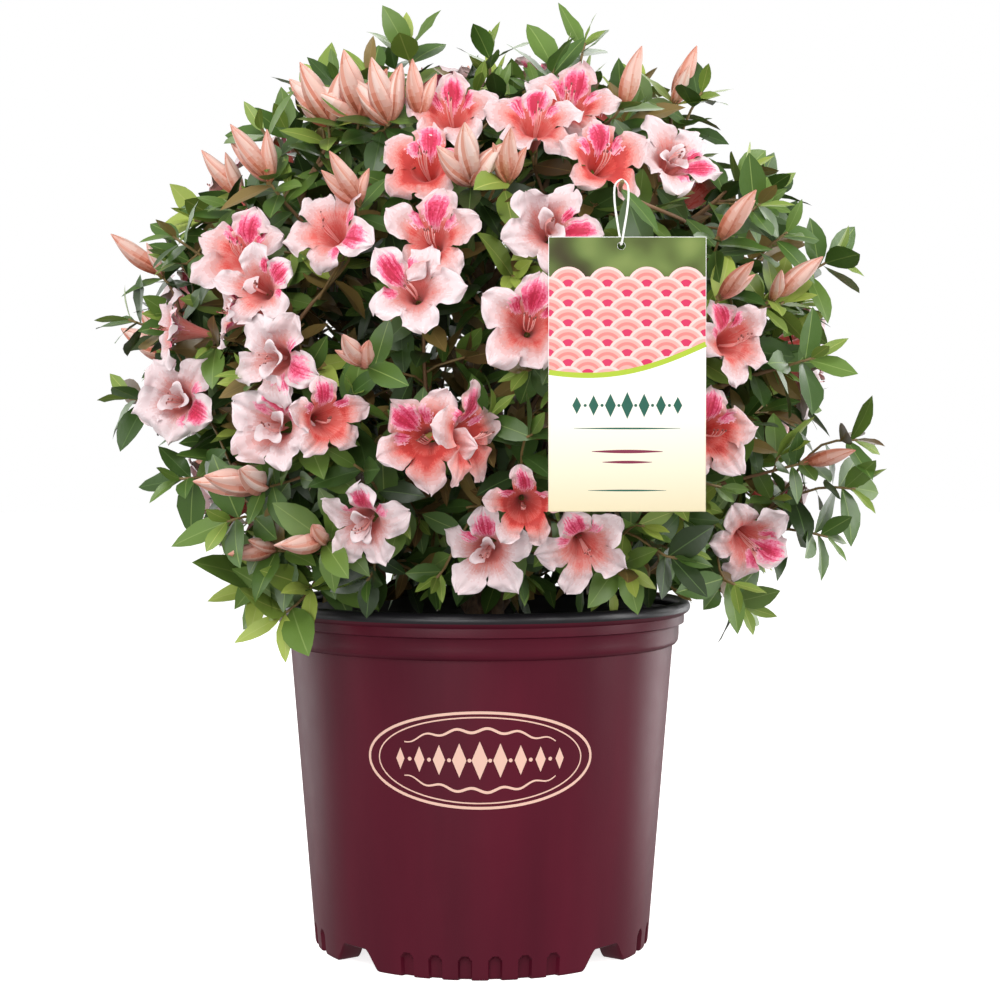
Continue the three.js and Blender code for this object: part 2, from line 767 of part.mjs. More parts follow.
// The card and its loop hang free, with nothing in front of them
function clearOfCard(point) {
  const low = CARD_CENTRE.z - CARD_HEIGHT / 2 - CARD_CLEARANCE;
  const high = CARD_CENTRE.z + CARD_HEIGHT / 2 + CARD_CLEARANCE;
  const reachY = CARD_CENTRE.y + CARD_CLEARANCE;
  const beside = Math.abs(point.x - CARD_CENTRE.x) > CARD_WIDTH / 2 + CARD_CLEARANCE;
  const besideLoop = Math.abs(point.x - CARD_HOLE.x) > LOOP_HALF_WIDTH + LOOP_CLEARANCE;
  if (point.y > reachY) return true;
  if (point.z > low && point.z < high) return beside;
  return point.z < low || point.z > HOOK_UP + HOOK_CLEARANCE || besideLoop;
}

function clearOfThings(point) {
  return clearOfPot(point) && clearOfCard(point);
}

function limbProbes(limbs) {
  return limbs.flatMap((limb) => Array.from({ length: LIMB_PROBES + 1 }, (_, i) => {
    const share = i / LIMB_PROBES;
    return { limb, share, at: limb.curve.getPoint(share), radius: limb.radiusAt(share) };
  }));
}

function clearOfLimbs(point, probes, ownMass) {
  return probes.every((probe) => {
    const ownTip = probe.limb.mass === ownMass && probe.share > OWN_LIMB_TIP;
    return ownTip || probe.at.distanceTo(point) > probe.radius + LIMB_CLEARANCE;
  });
}

// Points close together along a line
function probesBetween(a, b) {
  const count = Math.max(1, Math.ceil(a.distanceTo(b) / PROBE_STEP));
  return Array.from({ length: count + 1 }, (_, i) => mixed(a, b, i / count));
}

function fits(points, owner, world) {
  return points.every((point) => (
    clearOfThings(point)
    && clearOfLimbs(point, world.probes, MASSES[owner])
    && inOwnSpace(point, owner, world.sites)
  ));
}

// What the shoots carry

// A leaf: a pointed blade folded up along its rib, from five corners and six faces
function leafShape(root, way, face, length) {
  const across = face.clone().cross(way).normalize();
  const up = way.clone().cross(across).normalize();
  const middle = along(root, way, length * 0.5);
  const halfWidth = (LEAF_WIDTH / 2) * (length / LEAF_LENGTH);
  const edge = (side) => along(along(middle, across, side * halfWidth), up, LEAF_FOLD);
  return [
    along(root, way, -LEAF_ROOT),
    along(along(root, way, length), up, -LEAF_FOLD),
    edge(1),
    edge(-1),
    along(middle, up, -LEAF_FOLD * 0.5 - LEAF_THICKNESS),
  ];
}

function leafGeometry(corners) {
  const [root, tip, left, right, under] = [0, 1, 2, 3, 4];
  const above = [root, tip, left, root, right, tip];
  const below = [root, left, under, left, tip, under, root, under, right, right, under, tip];
  return facets(corners, [...above, ...below]);
}

// A leaf's points to test: its rib and its edges, past the stalk
function leafProbes(corners) {
  const [root, tip, left, right] = corners;
  const stalk = LEAF_STALK / LEAF_LENGTH;
  return [
    ...probesBetween(mixed(root, tip, stalk), tip),
    ...probesBetween(left, tip),
    ...probesBetween(right, tip),
    ...probesBetween(mixed(root, left, stalk * 2), left),
    ...probesBetween(mixed(root, right, stalk * 2), right),
  ];
}

// An open bloom: a funnel with five blunt lobes, on a three-sided neck that holds the twig's end
function bloomShape(frame, centre, size) {
  const rim = [];
  for (let lobe = 0; lobe < 5; lobe += 1) {
    for (const [turn, share, lift] of LOBE_OUTLINE) {
      const out = outward(frame, radians(lobe * 72 + turn));
      rim.push(along(along(centre, out, BLOOM_RADIUS * share * size), frame.way, lift));
    }
  }
  const neck = neckRing(frame, NECK_OF_BLOOM);
  const throat = along(centre, frame.way, -BLOOM_DEPTH * 0.5);
  const [firstOfNeck, front] = [rim.length, rim.length + 3];
  const triangles = [firstOfNeck, firstOfNeck + 2, firstOfNeck + 1];
  rim.forEach((_, i) => {
    const next = (i + 1) % rim.length;
    triangles.push(i, next, front, next, i, firstOfNeck + Math.floor(i / 5));
    if (next % 5 === 0) {
      triangles.push(firstOfNeck + ((Math.floor(i / 5) + 1) % 3), next, firstOfNeck + Math.floor(i / 5));
    }
  });
  return { geometry: facets([...rim, ...neck, throat], triangles), edge: rim, root: frame.at };
}

// Three corners round a twig's end, wider than the twig
function neckRing(frame, radius) {
  return [0, 1, 2].map((side) => along(
    along(frame.at, frame.way, -NECK_LENGTH), outward(frame, (side * 2 * Math.PI) / 3), radius,
  ));
}

// A closed bud at a twig's end: a pointed spindle with three sides, on a neck like a bloom's
function budShape(frame, size) {
  const length = BUD_LENGTH * size;
  const ring = [0, 1, 2].map((side) => along(
    along(frame.at, frame.way, length * 0.5), outward(frame, (side * 2 * Math.PI) / 3), BUD_RADIUS * size,
  ));
  const tip = along(frame.at, frame.way, length);
  const triangles = [0, 2, 1];
  for (let side = 0; side < 3; side += 1) {
    const next = (side + 1) % 3;
    triangles.push(side, next, 3 + next, side, 3 + next, 3 + side, 3 + side, 3 + next, 6);
  }
  const corners = [...neckRing(frame, NECK_OF_BUD), ...ring, tip];
  return { geometry: facets(corners, triangles), edge: [...ring, tip], root: frame.at };
}

// A bud beside it, whose pointed foot is sunk in the side of the twig
function sideBudShape(spot, size) {
  const way = spot.way.clone().multiplyScalar(Math.cos(0.6)).addScaledVector(spot.out, Math.sin(0.6));
  const length = BUD_LENGTH * size * 0.85;
  const middle = along(spot.at, way, length * 0.55);
  const ring = [0, 1, 2].map((side) => (
    along(middle, sideways(way, (side * 2 * Math.PI) / 3), BUD_RADIUS * size * 0.9)
  ));
  const tip = along(spot.at, way, length);
  const triangles = [];
  for (let side = 0; side < 3; side += 1) {
    const next = (side + 1) % 3;
    triangles.push(0, 2 + next, 2 + side, 1, 2 + side, 2 + next);
  }
  return { geometry: facets([spot.at, tip, ...ring], triangles), edge: [...ring, tip], root: spot.at };
}

// A place on a twig, back from its tip, with the middle of one of the twig's three faces
function spotOn(twig, back, face, nudge) {
  const { frames } = twig;
  let left = back;
  for (let i = frames.length - 1; i > 0; i -= 1) {
    const [from, to] = [frames[i - 1], frames[i]];
    const length = from.at.distanceTo(to.at);
    if (left <= length) {
      const share = 1 - left / length;
      const way = to.at.clone().sub(from.at).normalize();
      const angle = ((face + 0.5) * 2 * Math.PI) / 3 + nudge;
      const out = mixed(outward(from, angle), outward(to, angle), share);
      out.addScaledVector(way, -out.dot(way)).normalize();
      return { at: mixed(from.at, to.at, share), way, out };
    }
    left -= length;
  }
  return null;
}

// One leaf from a place on a twig, leaning out from it by spread
function leafOn(spot, spread, length) {
  const way = spot.way.clone().multiplyScalar(Math.cos(spread)).addScaledVector(spot.out, Math.sin(spread));
  way.addScaledVector(UP, -LEAF_DROOP).normalize();
  return leafShape(spot.at, way, mixed(spot.way, UP, 0.5).normalize(), length);
}

// The leaves of a twig spiral down from its tip: close together near the tip, then far apart
function leavesOf(twig, random) {
  const { kind } = twig.tip;
  if (kind === 'hook') return [];
  const leaves = [];
  const firstFace = Math.floor(random() * 3);
  const length = LEAF_LENGTH * THREE.MathUtils.lerp(...LEAF_SIZES, random());
  let back = LEAF_START[kind];
  for (let i = 0; ; i += 1) {
    const spot = spotOn(twig, back, (firstFace + i) % 3, 0.5 * (random() - 0.5));
    if (!spot || spot.at.distanceTo(twig.points[0]) < LAST_LEAF) return leaves;
    leaves.push(leafOn(spot, Math.min(WIDEST_SPREAD, FIRST_SPREAD[kind] + SPREAD_STEP * i), length));
    back += i < WHORL - 1 ? WHORL_STEP : STEM_LEAF_STEP;
  }
}

// The blossom at a tip, at one size
function blossomOf(twig, size) {
  const frame = twig.frames[twig.frames.length - 1];
  if (twig.tip.kind === 'bloom') return [bloomShape(frame, twig.tip.centre, size)];
  return [budShape(frame, size), sideBudShape(spotOn(twig, 5, 0, 0), size)];
}

// Foliage masses

// The twigs that stay in their mass's space, each one only if the twig that carries it stays
function keptTwigs(twigs, owner, world) {
  const foot = stemFoot(MASSES[owner]).at;
  const kept = new Set();
  for (const twig of twigs) {
    const carried = twig.parent === null || kept.has(twig.parent);
    const inner = twig.points.slice(1).flatMap((point, i) => probesBetween(twig.points[i], point));
    const probes = inner.filter((point) => point.distanceTo(foot) > FOOT_ROOM);
    if (carried && (twig.tip.kind === 'hook' || fits(probes, owner, world))) kept.add(twig);
  }
  return twigs.filter((twig) => kept.has(twig));
}

// How many tips hang on each point of each twig, for its thickness
function tipLoads(twigs) {
  const loads = new Map(twigs.map((twig) => [twig, twig.points.map(() => 0)]));
  for (const twig of twigs) {
    let at = twig;
    let last = twig.points.length - 1;
    while (at) {
      const row = loads.get(at);
      for (let i = 0; i <= last; i += 1) row[i] += 1;
      last = at.start.piece;
      at = at.parent;
    }
  }
  return loads;
}

function clearOfTaken(points, taken, clearance) {
  return points.every((point) => taken.every((other) => other.distanceTo(point) > clearance));
}

// Blossom that would leave its space is tried at smaller sizes, like a bloom that opens less far
function fittingBlossom(twig, owner, world, taken) {
  const { kind } = twig.tip;
  if (kind !== 'bloom' && kind !== 'bud') return [];
  const choices = BLOSSOM_SIZES.map((size) => blossomOf(twig, size))
    .filter((shapes) => shapes.every((shape) => fits(shape.edge, owner, world)));
  const isFree = (shape) => clearOfTaken(shape.edge, taken, LEAF_CLEARANCE);
  const free = choices.find((shapes) => shapes.every(isFree));
  return free ?? choices[choices.length - 1] ?? [];
}

function buildMass({ stem, twigs }, owner, world) {
  const random = seededRandom(SEED + 1 + owner);
  const kept = keptTwigs(twigs, owner, world);
  const loads = tipLoads(kept);
  const thickness = (load) => TWIG_TIP_RADIUS * load ** TWIG_THICKENING;
  const stemRadius = Math.min(LIMB_TIP_RADIUS, thickness(kept.length));
  const parts = [taperingTube(framesAlong(stem, 0), [stemRadius, stemRadius], LIMB_SIDES)];
  const taken = [];
  for (const twig of kept) {
    twig.frames = framesAlong(twig.points, random() * 2);
    parts.push(taperingTube(twig.frames, loads.get(twig).map(thickness), 3));
    twig.points.slice(1).forEach((point, i) => taken.push(...probesBetween(twig.points[i], point)));
  }
  for (const twig of kept) {
    for (const shape of fittingBlossom(twig, owner, world, taken)) {
      parts.push(shape.geometry);
      for (const point of shape.edge) taken.push(...probesBetween(mixed(shape.root, point, 0.3), point));
    }
  }
  for (const twig of kept) {
    for (const corners of leavesOf(twig, random)) {
      const probes = leafProbes(corners);
      if (clearOfTaken(probes, taken, LEAF_CLEARANCE) && fits(probes, owner, world)) {
        parts.push(leafGeometry(corners));
        taken.push(...probes);
      }
    }
  }
  return fuse(parts);
}

// Card and loop

function buildCard() {
  const outline = new THREE.Shape();
  outline.moveTo(-CARD_WIDTH / 2, -CARD_HEIGHT / 2);
  outline.lineTo(CARD_WIDTH / 2, -CARD_HEIGHT / 2);
  outline.lineTo(CARD_WIDTH / 2, CARD_HEIGHT / 2);
  outline.lineTo(-CARD_WIDTH / 2, CARD_HEIGHT / 2);
  const hole = new THREE.Path();
  const holeX = CARD_HOLE.x - CARD_CENTRE.x;
  const holeZ = CARD_HOLE.y - CARD_CENTRE.z;
  hole.absarc(holeX, holeZ, CARD_HOLE_RADIUS, 0, Math.PI * 2, true);
  outline.holes.push(hole);
  const depth = CARD_THICKNESS;
  const card = new THREE.ExtrudeGeometry(outline, { depth, bevelEnabled: false, curveSegments: 10 });
  card.translate(0, 0, -depth / 2).rotateX(Math.PI / 2).translate(...CARD_CENTRE.toArray());
  return toSolid(card);
}

// The loop: over the twig, down both sides, and through the card's hole from front to back
function buildLoop() {
  const { x } = CARD_HOLE;
  const { y } = CARD_CENTRE;
  const top = HOOK_UP + TWIG_TIP_RADIUS + GAP + LOOP_RADIUS;
  const holeTop = CARD_HOLE.y + CARD_HOLE_RADIUS;
  const through = holeTop - 2 * GAP - LOOP_RADIUS;
  const off = CARD_THICKNESS / 2 + GAP + LOOP_RADIUS;
  const path = new THREE.CatmullRomCurve3([
    vector(x, y, top),
    vector(x + LOOP_HALF_WIDTH * 0.8, y, top - 2.6),
    vector(x + LOOP_HALF_WIDTH, y, top - 8),
    vector(x + LOOP_HALF_WIDTH * 0.8, y - off * 0.5, (top + holeTop) / 2),
    vector(x + 0.8, y - off - 0.4, holeTop + 3),
    vector(x + 0.2, y - off * 0.9, through + 0.2),
    vector(x, y, through),
    vector(x - 0.2, y + off * 0.9, through + 0.2),
    vector(x - 0.8, y + off + 0.4, holeTop + 3),
    vector(x - LOOP_HALF_WIDTH * 0.8, y + off * 0.5, (top + holeTop) / 2),
    vector(x - LOOP_HALF_WIDTH, y, top - 8),
    vector(x - LOOP_HALF_WIDTH * 0.8, y, top - 2.6),
  ], true, 'centripetal');
  return toSolid(new THREE.TubeGeometry(path, 34, LOOP_RADIUS, 4, true));
}

// Assembly

function addNode(group, name, solid, colour, roughness) {
  const material = new THREE.MeshStandardMaterial({ color: colour, roughness, metalness: 0 });
  const mesh = new THREE.Mesh(toGeometry(solid), material);
  mesh.name = name;
  group.add(mesh);
}

function buildPlant() {
  const group = new THREE.Group();
  addNode(group, 'pot', buildPot(), COLOURS.pot, 0.45);
  addNode(group, 'growing_mix', buildSoil(), COLOURS.soil, 0.95);
  addNode(group, 'trunk', toSolid(trunkGeometry(0)), COLOURS.bark, 0.85);

  const limbs = makeLimbs();
  limbs.forEach((limb, order) => {
    addNode(group, limb.name, buildLimb(limb, order, limbs), COLOURS.bark, 0.85);
  });

  const tips = gatherTips();
  const grown = MASSES.map((mass) => ({ mass, ...growTwigs(mass, tips.get(mass)) }));
  const world = { sites: spaceSites(grown), probes: limbProbes(limbs) };
  grown.forEach((entry, owner) => {
    const solid = buildMass(entry, owner, world);
    addNode(group, `foliage_${entry.mass.name}`, solid, COLOURS.foliage, 0.6);
  });

  addNode(group, 'card', buildCard(), COLOURS.card, 0.5);
  addNode(group, 'card_loop', buildLoop(), COLOURS.loop, 0.7);

  const middle = new THREE.Box3().setFromObject(group).getCenter(vector(0, 0, 0));
  for (const mesh of group.children) mesh.position.set(-middle.x, -middle.y, 0);
  return group;
}

export default buildPlant();
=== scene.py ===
# %% [markdown]
# # An azalea in its nursery pot
# The real thing is a rounded evergreen shrub, about 58 cm across, in full salmon-pink bloom. It
# grows in a maroon plastic pot, and a printed card hangs in its crown from a white loop. The
# solids of the plant come from the frame: here each foliage mass is grown again, by the same rule,
# and carried on to fine shoots, real leaves and ruffled petals. A plant like this could be made
# with hair curves or Geometry Nodes. Arrays of small shapes were chosen, because every leaf then
# has a place that the rule can test, and the result is one plain mesh for each kind of thing.

# %% Load the frame
import json
import math

import bpy
import numpy as np
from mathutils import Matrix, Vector, noise

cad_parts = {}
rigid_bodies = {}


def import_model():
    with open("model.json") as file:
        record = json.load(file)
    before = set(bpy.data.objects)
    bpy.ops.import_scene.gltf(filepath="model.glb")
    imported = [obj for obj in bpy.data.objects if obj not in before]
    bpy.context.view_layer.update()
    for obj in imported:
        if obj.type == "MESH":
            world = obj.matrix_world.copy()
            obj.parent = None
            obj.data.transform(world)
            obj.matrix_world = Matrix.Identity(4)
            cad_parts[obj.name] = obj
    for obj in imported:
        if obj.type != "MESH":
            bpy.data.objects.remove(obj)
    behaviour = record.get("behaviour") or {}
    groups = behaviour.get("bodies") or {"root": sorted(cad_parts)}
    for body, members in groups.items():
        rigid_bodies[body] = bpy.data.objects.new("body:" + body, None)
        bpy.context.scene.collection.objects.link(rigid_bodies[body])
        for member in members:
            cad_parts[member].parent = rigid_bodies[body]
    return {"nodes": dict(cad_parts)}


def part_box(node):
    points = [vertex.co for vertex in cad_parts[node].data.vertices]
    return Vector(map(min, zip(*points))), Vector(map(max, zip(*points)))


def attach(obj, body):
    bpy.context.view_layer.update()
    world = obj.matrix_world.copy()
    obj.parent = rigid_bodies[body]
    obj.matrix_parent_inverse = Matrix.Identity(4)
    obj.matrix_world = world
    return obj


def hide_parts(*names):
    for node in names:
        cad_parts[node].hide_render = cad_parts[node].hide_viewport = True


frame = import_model()
scene = bpy.context.scene
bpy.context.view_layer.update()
print("CAD nodes:", len(frame["nodes"]))

# %% [markdown]
# ## Places and directions
# All sizes below are millimetres from the pot's own axis, with the ground at 0, the front towards
# -Y and the right towards +X. Each object could be moved and scaled into place by itself. Here one
# helper puts every mesh where the frame has the pot and turns it into metres, so that no object
# needs a place or a scale of its own.

# %% The pot's axis
MM = 0.001
pot_low, pot_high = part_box("pot")
AXIS = np.array([(pot_low.x + pot_high.x) / 2, (pot_low.y + pot_high.y) / 2, 0.0])
UP = np.array([0.0, 0.0, 1.0])
FRONT = np.array([0.0, -1.0, 0.0])
print("pot axis in the frame, mm:", (AXIS / MM).round(1)[:2])


def in_metres(points):
    """Millimetres from the pot's axis, as metres in the frame"""
    return np.asarray(points, float) * MM + AXIS

# %% Directions and curves
def unit(way):
    return way / np.linalg.norm(way)


def mixed(a, b, share):
    return a + (b - a) * share


def heading(turn, rise):
    """A direction: turn in degrees from the front towards +X, rise in degrees from level"""
    t, r = math.radians(turn), math.radians(rise)
    return np.array([math.sin(t) * math.cos(r), -math.cos(t) * math.cos(r), math.sin(r)])


def sideways(way, angle):
    """A direction square to way, turned about it by angle"""
    reference = UP if abs(way[2]) < 0.9 else np.array([1.0, 0.0, 0.0])
    across = unit(np.cross(reference, way))
    return across * math.cos(angle) + np.cross(way, across) * math.sin(angle)


def curve_between(start, start_way, end, end_way):
    """A cubic curve's four points, with handles a third of the distance long"""
    reach = np.linalg.norm(end - start) / 3
    return np.array([start, start + start_way * reach, end - end_way * reach, end])


def curve_points(handles, shares):
    t = np.asarray(shares, float)[:, None]
    a, b, c, d = handles
    return a * (1 - t) ** 3 + b * 3 * t * (1 - t) ** 2 + c * 3 * t**2 * (1 - t) + d * t**3


def frames_along(points, roll):
    """Along a row of points: the direction at each, and two directions square to it that don't
    twist from one point to the next"""
    points = np.asarray(points, float)
    ways = np.empty_like(points)
    ways[1:-1] = points[2:] - points[:-2]
    ways[0] = points[1] - points[0]
    ways[-1] = points[-1] - points[-2]
    ways /= np.linalg.norm(ways, axis=1)[:, None]
    across = np.empty_like(points)
    across[0] = sideways(ways[0], roll)
    for i in range(1, len(points)):
        before = across[i - 1]
        across[i] = unit(before - ways[i] * before.dot(ways[i]))
    return ways, across, np.cross(ways, across)


print("heading to the front and up:", heading(0, 45).round(2))

# %% [markdown]
# ## One mesh from many small shapes
# A shrub has thousands of leaves, and an object for each would be slow and heavy. Instances would
# be light, but an export drops them. So a pile gathers points, faces and the number of each face's
# material, and then becomes one mesh at once.

# %% Piles of points and faces
class Pile:
    def __init__(self):
        self.points, self.faces, self.slots, self.count = [], [], [], 0

    def add(self, points, faces, slots):
        """faces is a list of arrays of corners, each with three or four a face"""
        for corners, slot in zip(faces, slots):
            corners = np.asarray(corners, np.int64)
            self.faces.append(corners + self.count)
            self.slots.append(np.broadcast_to(slot, (len(corners),)))
        self.points.append(np.asarray(points, float).reshape(-1, 3))
        self.count += len(self.points[-1])

    def triangles(self):
        return sum(len(f) * (f.shape[1] - 2) for f in self.faces)


print("an empty pile has", Pile().triangles(), "triangles")

# %% From a pile to an object
def mesh_object(name, pile, materials, smooth=True):
    """One object from a pile, riding with the plant"""
    points = in_metres(np.concatenate(pile.points))
    corners = np.concatenate([f.ravel() for f in pile.faces])
    sizes = np.concatenate([np.full(len(f), f.shape[1]) for f in pile.faces])
    mesh = bpy.data.meshes.new(name)
    mesh.vertices.add(len(points))
    mesh.vertices.foreach_set("co", points.ravel().astype(np.float32))
    mesh.loops.add(len(corners))
    mesh.loops.foreach_set("vertex_index", corners.astype(np.int32))
    mesh.polygons.add(len(sizes))
    starts = np.concatenate([[0], np.cumsum(sizes)[:-1]])
    mesh.polygons.foreach_set("loop_start", starts.astype(np.int32))
    mesh.polygons.foreach_set("material_index", np.concatenate(pile.slots).astype(np.int32))
    mesh.polygons.foreach_set("use_smooth", np.full(len(sizes), smooth))
    mesh.update(calc_edges=True)
    mesh.validate()
    for material in materials:
        mesh.materials.append(material)
    piece = bpy.data.objects.new(name, mesh)
    scene.collection.objects.link(piece)
    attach(piece, "root")
    print(f"{name}: {pile.triangles()} triangles")
    return piece


# %% Rings and tubes
def ring_faces(rings, sides, closed=True):
    """Quads between rings of points: each ring closes on itself unless told otherwise"""
    ring = np.arange(rings - 1)[:, None] * sides
    side = np.arange(sides if closed else sides - 1)[None, :]
    after = (side + 1) % sides
    quads = np.stack([ring + side, ring + after, ring + sides + after, ring + sides + side], axis=-1)
    return quads.reshape(-1, 4)


def tube(points, radii, sides, roll=0.0):
    """Points and faces of a round tapering tube, with a closed tip"""
    points = np.asarray(points, float)
    _, across, over = frames_along(points, roll)
    turn = np.arange(sides) * 2 * math.pi / sides
    out = across[:, None] * np.cos(turn)[None, :, None] + over[:, None] * np.sin(turn)[None, :, None]
    ring = points[:, None] + out * np.asarray(radii, float)[:, None, None]
    last = (len(points) - 1) * sides
    cap = np.array([[last, last + i, last + i + 1] for i in range(1, sides - 1)])
    return ring.reshape(-1, 3), [ring_faces(len(points), sides), cap]


print("faces round a ring of six points:", len(ring_faces(2, 6)))

# %% [markdown]
# ## Camera
# The photo was taken from about 1.3 m in front of the pot, 33 cm above its foot, with a long lens
# that looks almost level. A camera could be aimed by a constraint. Here its place and tilt are
# plain numbers, because they were fitted to the pot's rim and foot in the photo.

# %% Camera
CAMERA_PLACE = (12.9, -1298.0, 332.0)
CAMERA_DOWN = 1.0
CAMERA_LENS, SENSOR_WIDTH = 66.0, 36.0

camera_data = bpy.data.cameras.new("camera")
camera_data.lens = CAMERA_LENS
camera_data.sensor_width = SENSOR_WIDTH
camera = bpy.data.objects.new("camera", camera_data)
camera.location = Vector(in_metres(CAMERA_PLACE))
camera.rotation_euler = (math.radians(90 - CAMERA_DOWN), 0, 0)
scene.collection.objects.link(camera)
scene.camera = camera
print("camera at", camera.location)

# %% [markdown]
# ## Finishes
# No real surface has one flat colour and one gloss. Images could bring that variation, but they
# blur close up and need a map of the surface. Here noise made by nodes, measured on the object
# itself, varies the gloss and raises a fine relief, and on the large pieces it varies the colour
# too. Where a colour has its own place, as on a petal, each face gets a plain colour instead, which
# an export keeps.

# %% Colours and nodes
def hex_colour(text):
    """#rrggbb as the linear colour that a shader takes"""
    parts = [int(text[i : i + 2], 16) / 255 for i in (1, 3, 5)]
    linear = [p / 12.92 if p <= 0.04045 else ((p + 0.055) / 1.055) ** 2.4 for p in parts]
    return (*linear, 1.0)


def add_node(tree, kind, **inputs):
    node = tree.nodes.new(kind)
    for name, value in inputs.items():
        node.inputs[name.replace("_", " ")].default_value = value
    return node


def new_material(name, colour, roughness, specular=0.5):
    material = bpy.data.materials.new(name)
    material.use_nodes = True
    shader = material.node_tree.nodes["Principled BSDF"]
    shader.inputs["Base Color"].default_value = hex_colour(colour)
    shader.inputs["Roughness"].default_value = roughness
    shader.inputs["Specular IOR Level"].default_value = specular
    return material, material.node_tree, shader


def noise_of(tree, scale, detail=3.0, stretch=(1, 1, 1)):
    """A noise pattern in the object's own metres"""
    place = tree.nodes.new("ShaderNodeTexCoord")
    mapping = add_node(tree, "ShaderNodeMapping")
    mapping.inputs["Scale"].default_value = stretch
    pattern = add_node(tree, "ShaderNodeTexNoise", Scale=scale, Detail=detail)
    tree.links.new(place.outputs["Object"], mapping.inputs["Vector"])
    tree.links.new(mapping.outputs["Vector"], pattern.inputs["Vector"])
    return pattern.outputs["Fac"]


print("middle grey for a shader:", round(hex_colour("#808080")[0], 3))

# %% Patterns that vary a surface
# How far the roughness swings to each side
GLOSS_SPREAD = 0.08


def vary_roughness(tree, shader, pattern, low, high):
    spread = tree.nodes.new("ShaderNodeMapRange")
    spread.inputs["To Min"].default_value = low
    spread.inputs["To Max"].default_value = high
    tree.links.new(pattern, spread.inputs["Value"])
    tree.links.new(spread.outputs["Result"], shader.inputs["Roughness"])


def add_bump(tree, shader, pattern, strength, depth):
    bump = add_node(tree, "ShaderNodeBump", Strength=strength, Distance=depth)
    tree.links.new(pattern, bump.inputs["Height"])
    tree.links.new(bump.outputs["Normal"], shader.inputs["Normal"])


def vary_colour(tree, shader, pattern, stops):
    """Base colour from a pattern: stops are (place, #rrggbb)"""
    ramp = tree.nodes.new("ShaderNodeValToRGB")
    while len(ramp.color_ramp.elements) < len(stops):
        ramp.color_ramp.elements.new(0.5)
    for element, (place, colour) in zip(ramp.color_ramp.elements, stops):
        element.position = place
        element.color = hex_colour(colour)
    tree.links.new(pattern, ramp.inputs["Fac"])
    tree.links.new(ramp.outputs["Color"], shader.inputs["Base Color"])


def surface(name, colour, roughness, grain, bump, depth, specular=0.5, sheen=0.0):
    """A plain colour whose gloss varies a little and whose surface has a fine relief"""
    material, tree, shader = new_material(name, colour, roughness, specular)
    shader.inputs["Sheen Weight"].default_value = sheen
    gloss = noise_of(tree, grain / 3)
    vary_roughness(tree, shader, gloss, roughness - GLOSS_SPREAD, roughness + GLOSS_SPREAD)
    add_bump(tree, shader, noise_of(tree, grain), bump, depth)
    return material


print("roughness swings by", GLOSS_SPREAD)

# %% [markdown]
# ## Floor and light
# The light is that of a white studio: a broad soft light over the front, and a tall one at each
# side that draws the pale edges on the pot. A sky or a few point lamps would be simpler, but their
# shadows are hard. Area lights and an even white world keep the shadows soft.

# %% Floor
FLOOR_HALF = 12000.0
FLOOR_GLOW = 0.78

floor_pile = Pile()
floor_corners = [[x * FLOOR_HALF, y * FLOOR_HALF, 0] for x, y in ((-1, -1), (1, -1), (1, 1), (-1, 1))]
floor_pile.add(floor_corners, [[[0, 1, 2, 3]]], [0])
floor_material = surface("studio_floor", "#efeeec", 0.6, 40.0, 0.02, 0.0005)
floor_shader = floor_material.node_tree.nodes["Principled BSDF"]
floor_shader.inputs["Emission Color"].default_value = (1, 1, 1, 1)
floor_shader.inputs["Emission Strength"].default_value = FLOOR_GLOW
floor = mesh_object("studio_floor", floor_pile, [floor_material], smooth=False)
# The glow is only seen: it neither lights the plant nor is mirrored in it
floor.visible_diffuse = False
floor.visible_glossy = False

# %% World
WORLD_LIGHT = 0.39


def build_world():
    """White where the camera looks, and a softer white as light on the plant"""
    world = bpy.data.worlds.new("studio")
    world.use_nodes = True
    tree = world.node_tree
    background = tree.nodes["Background"]
    background.inputs["Color"].default_value = (1, 1, 1, 1)
    seen = tree.nodes.new("ShaderNodeLightPath")
    strength = tree.nodes.new("ShaderNodeMapRange")
    strength.inputs["To Min"].default_value = WORLD_LIGHT
    strength.inputs["To Max"].default_value = 1.0
    tree.links.new(seen.outputs["Is Camera Ray"], strength.inputs["Value"])
    tree.links.new(strength.outputs["Result"], background.inputs["Strength"])
    return world


scene.world = build_world()
print("strength of the world's light:", WORLD_LIGHT)

# %% Soft lights
# Each light: its place, the point that it faces, its width and height, and its power in watts
LIGHTS = {
    "light_front_high": ((-450, -1450, 1850), (0, 0, 380), 1100, 800, 22),
    "light_front_low": ((-550, -1900, 420), (0, 0, 330), 1300, 600, 15),
    "light_front_right": ((1300, -1500, 900), (0, 0, 300), 700, 900, 11),
    "light_left": ((-1650, -330, 560), (0, 0, 220), 320, 1500, 6),
    "light_right": ((1650, -330, 560), (0, 0, 220), 320, 1500, 15),
    "light_back_left": ((-1250, 900, 420), (0, 0, 220), 900, 1500, 8),
    "light_back_right": ((1250, 900, 420), (0, 0, 220), 900, 1500, 13),
    "light_back": ((200, 1600, 1800), (0, 0, 380), 1500, 900, 12),
}


def soft_light(name, place, target, width, height, power):
    data = bpy.data.lights.new(name, "AREA")
    data.shape = "RECTANGLE"
    data.size = width * MM
    data.size_y = height * MM
    data.energy = power
    light = bpy.data.objects.new(name, data)
    light.location = Vector(in_metres(place))
    aim = Vector(in_metres(target)) - light.location
    light.rotation_euler = aim.to_track_quat("-Z", "Y").to_euler()
    scene.collection.objects.link(light)


for light_name, setting in LIGHTS.items():
    soft_light(light_name, *setting)
scene.view_settings.view_transform = "Standard"
print("lights:", len(LIGHTS))

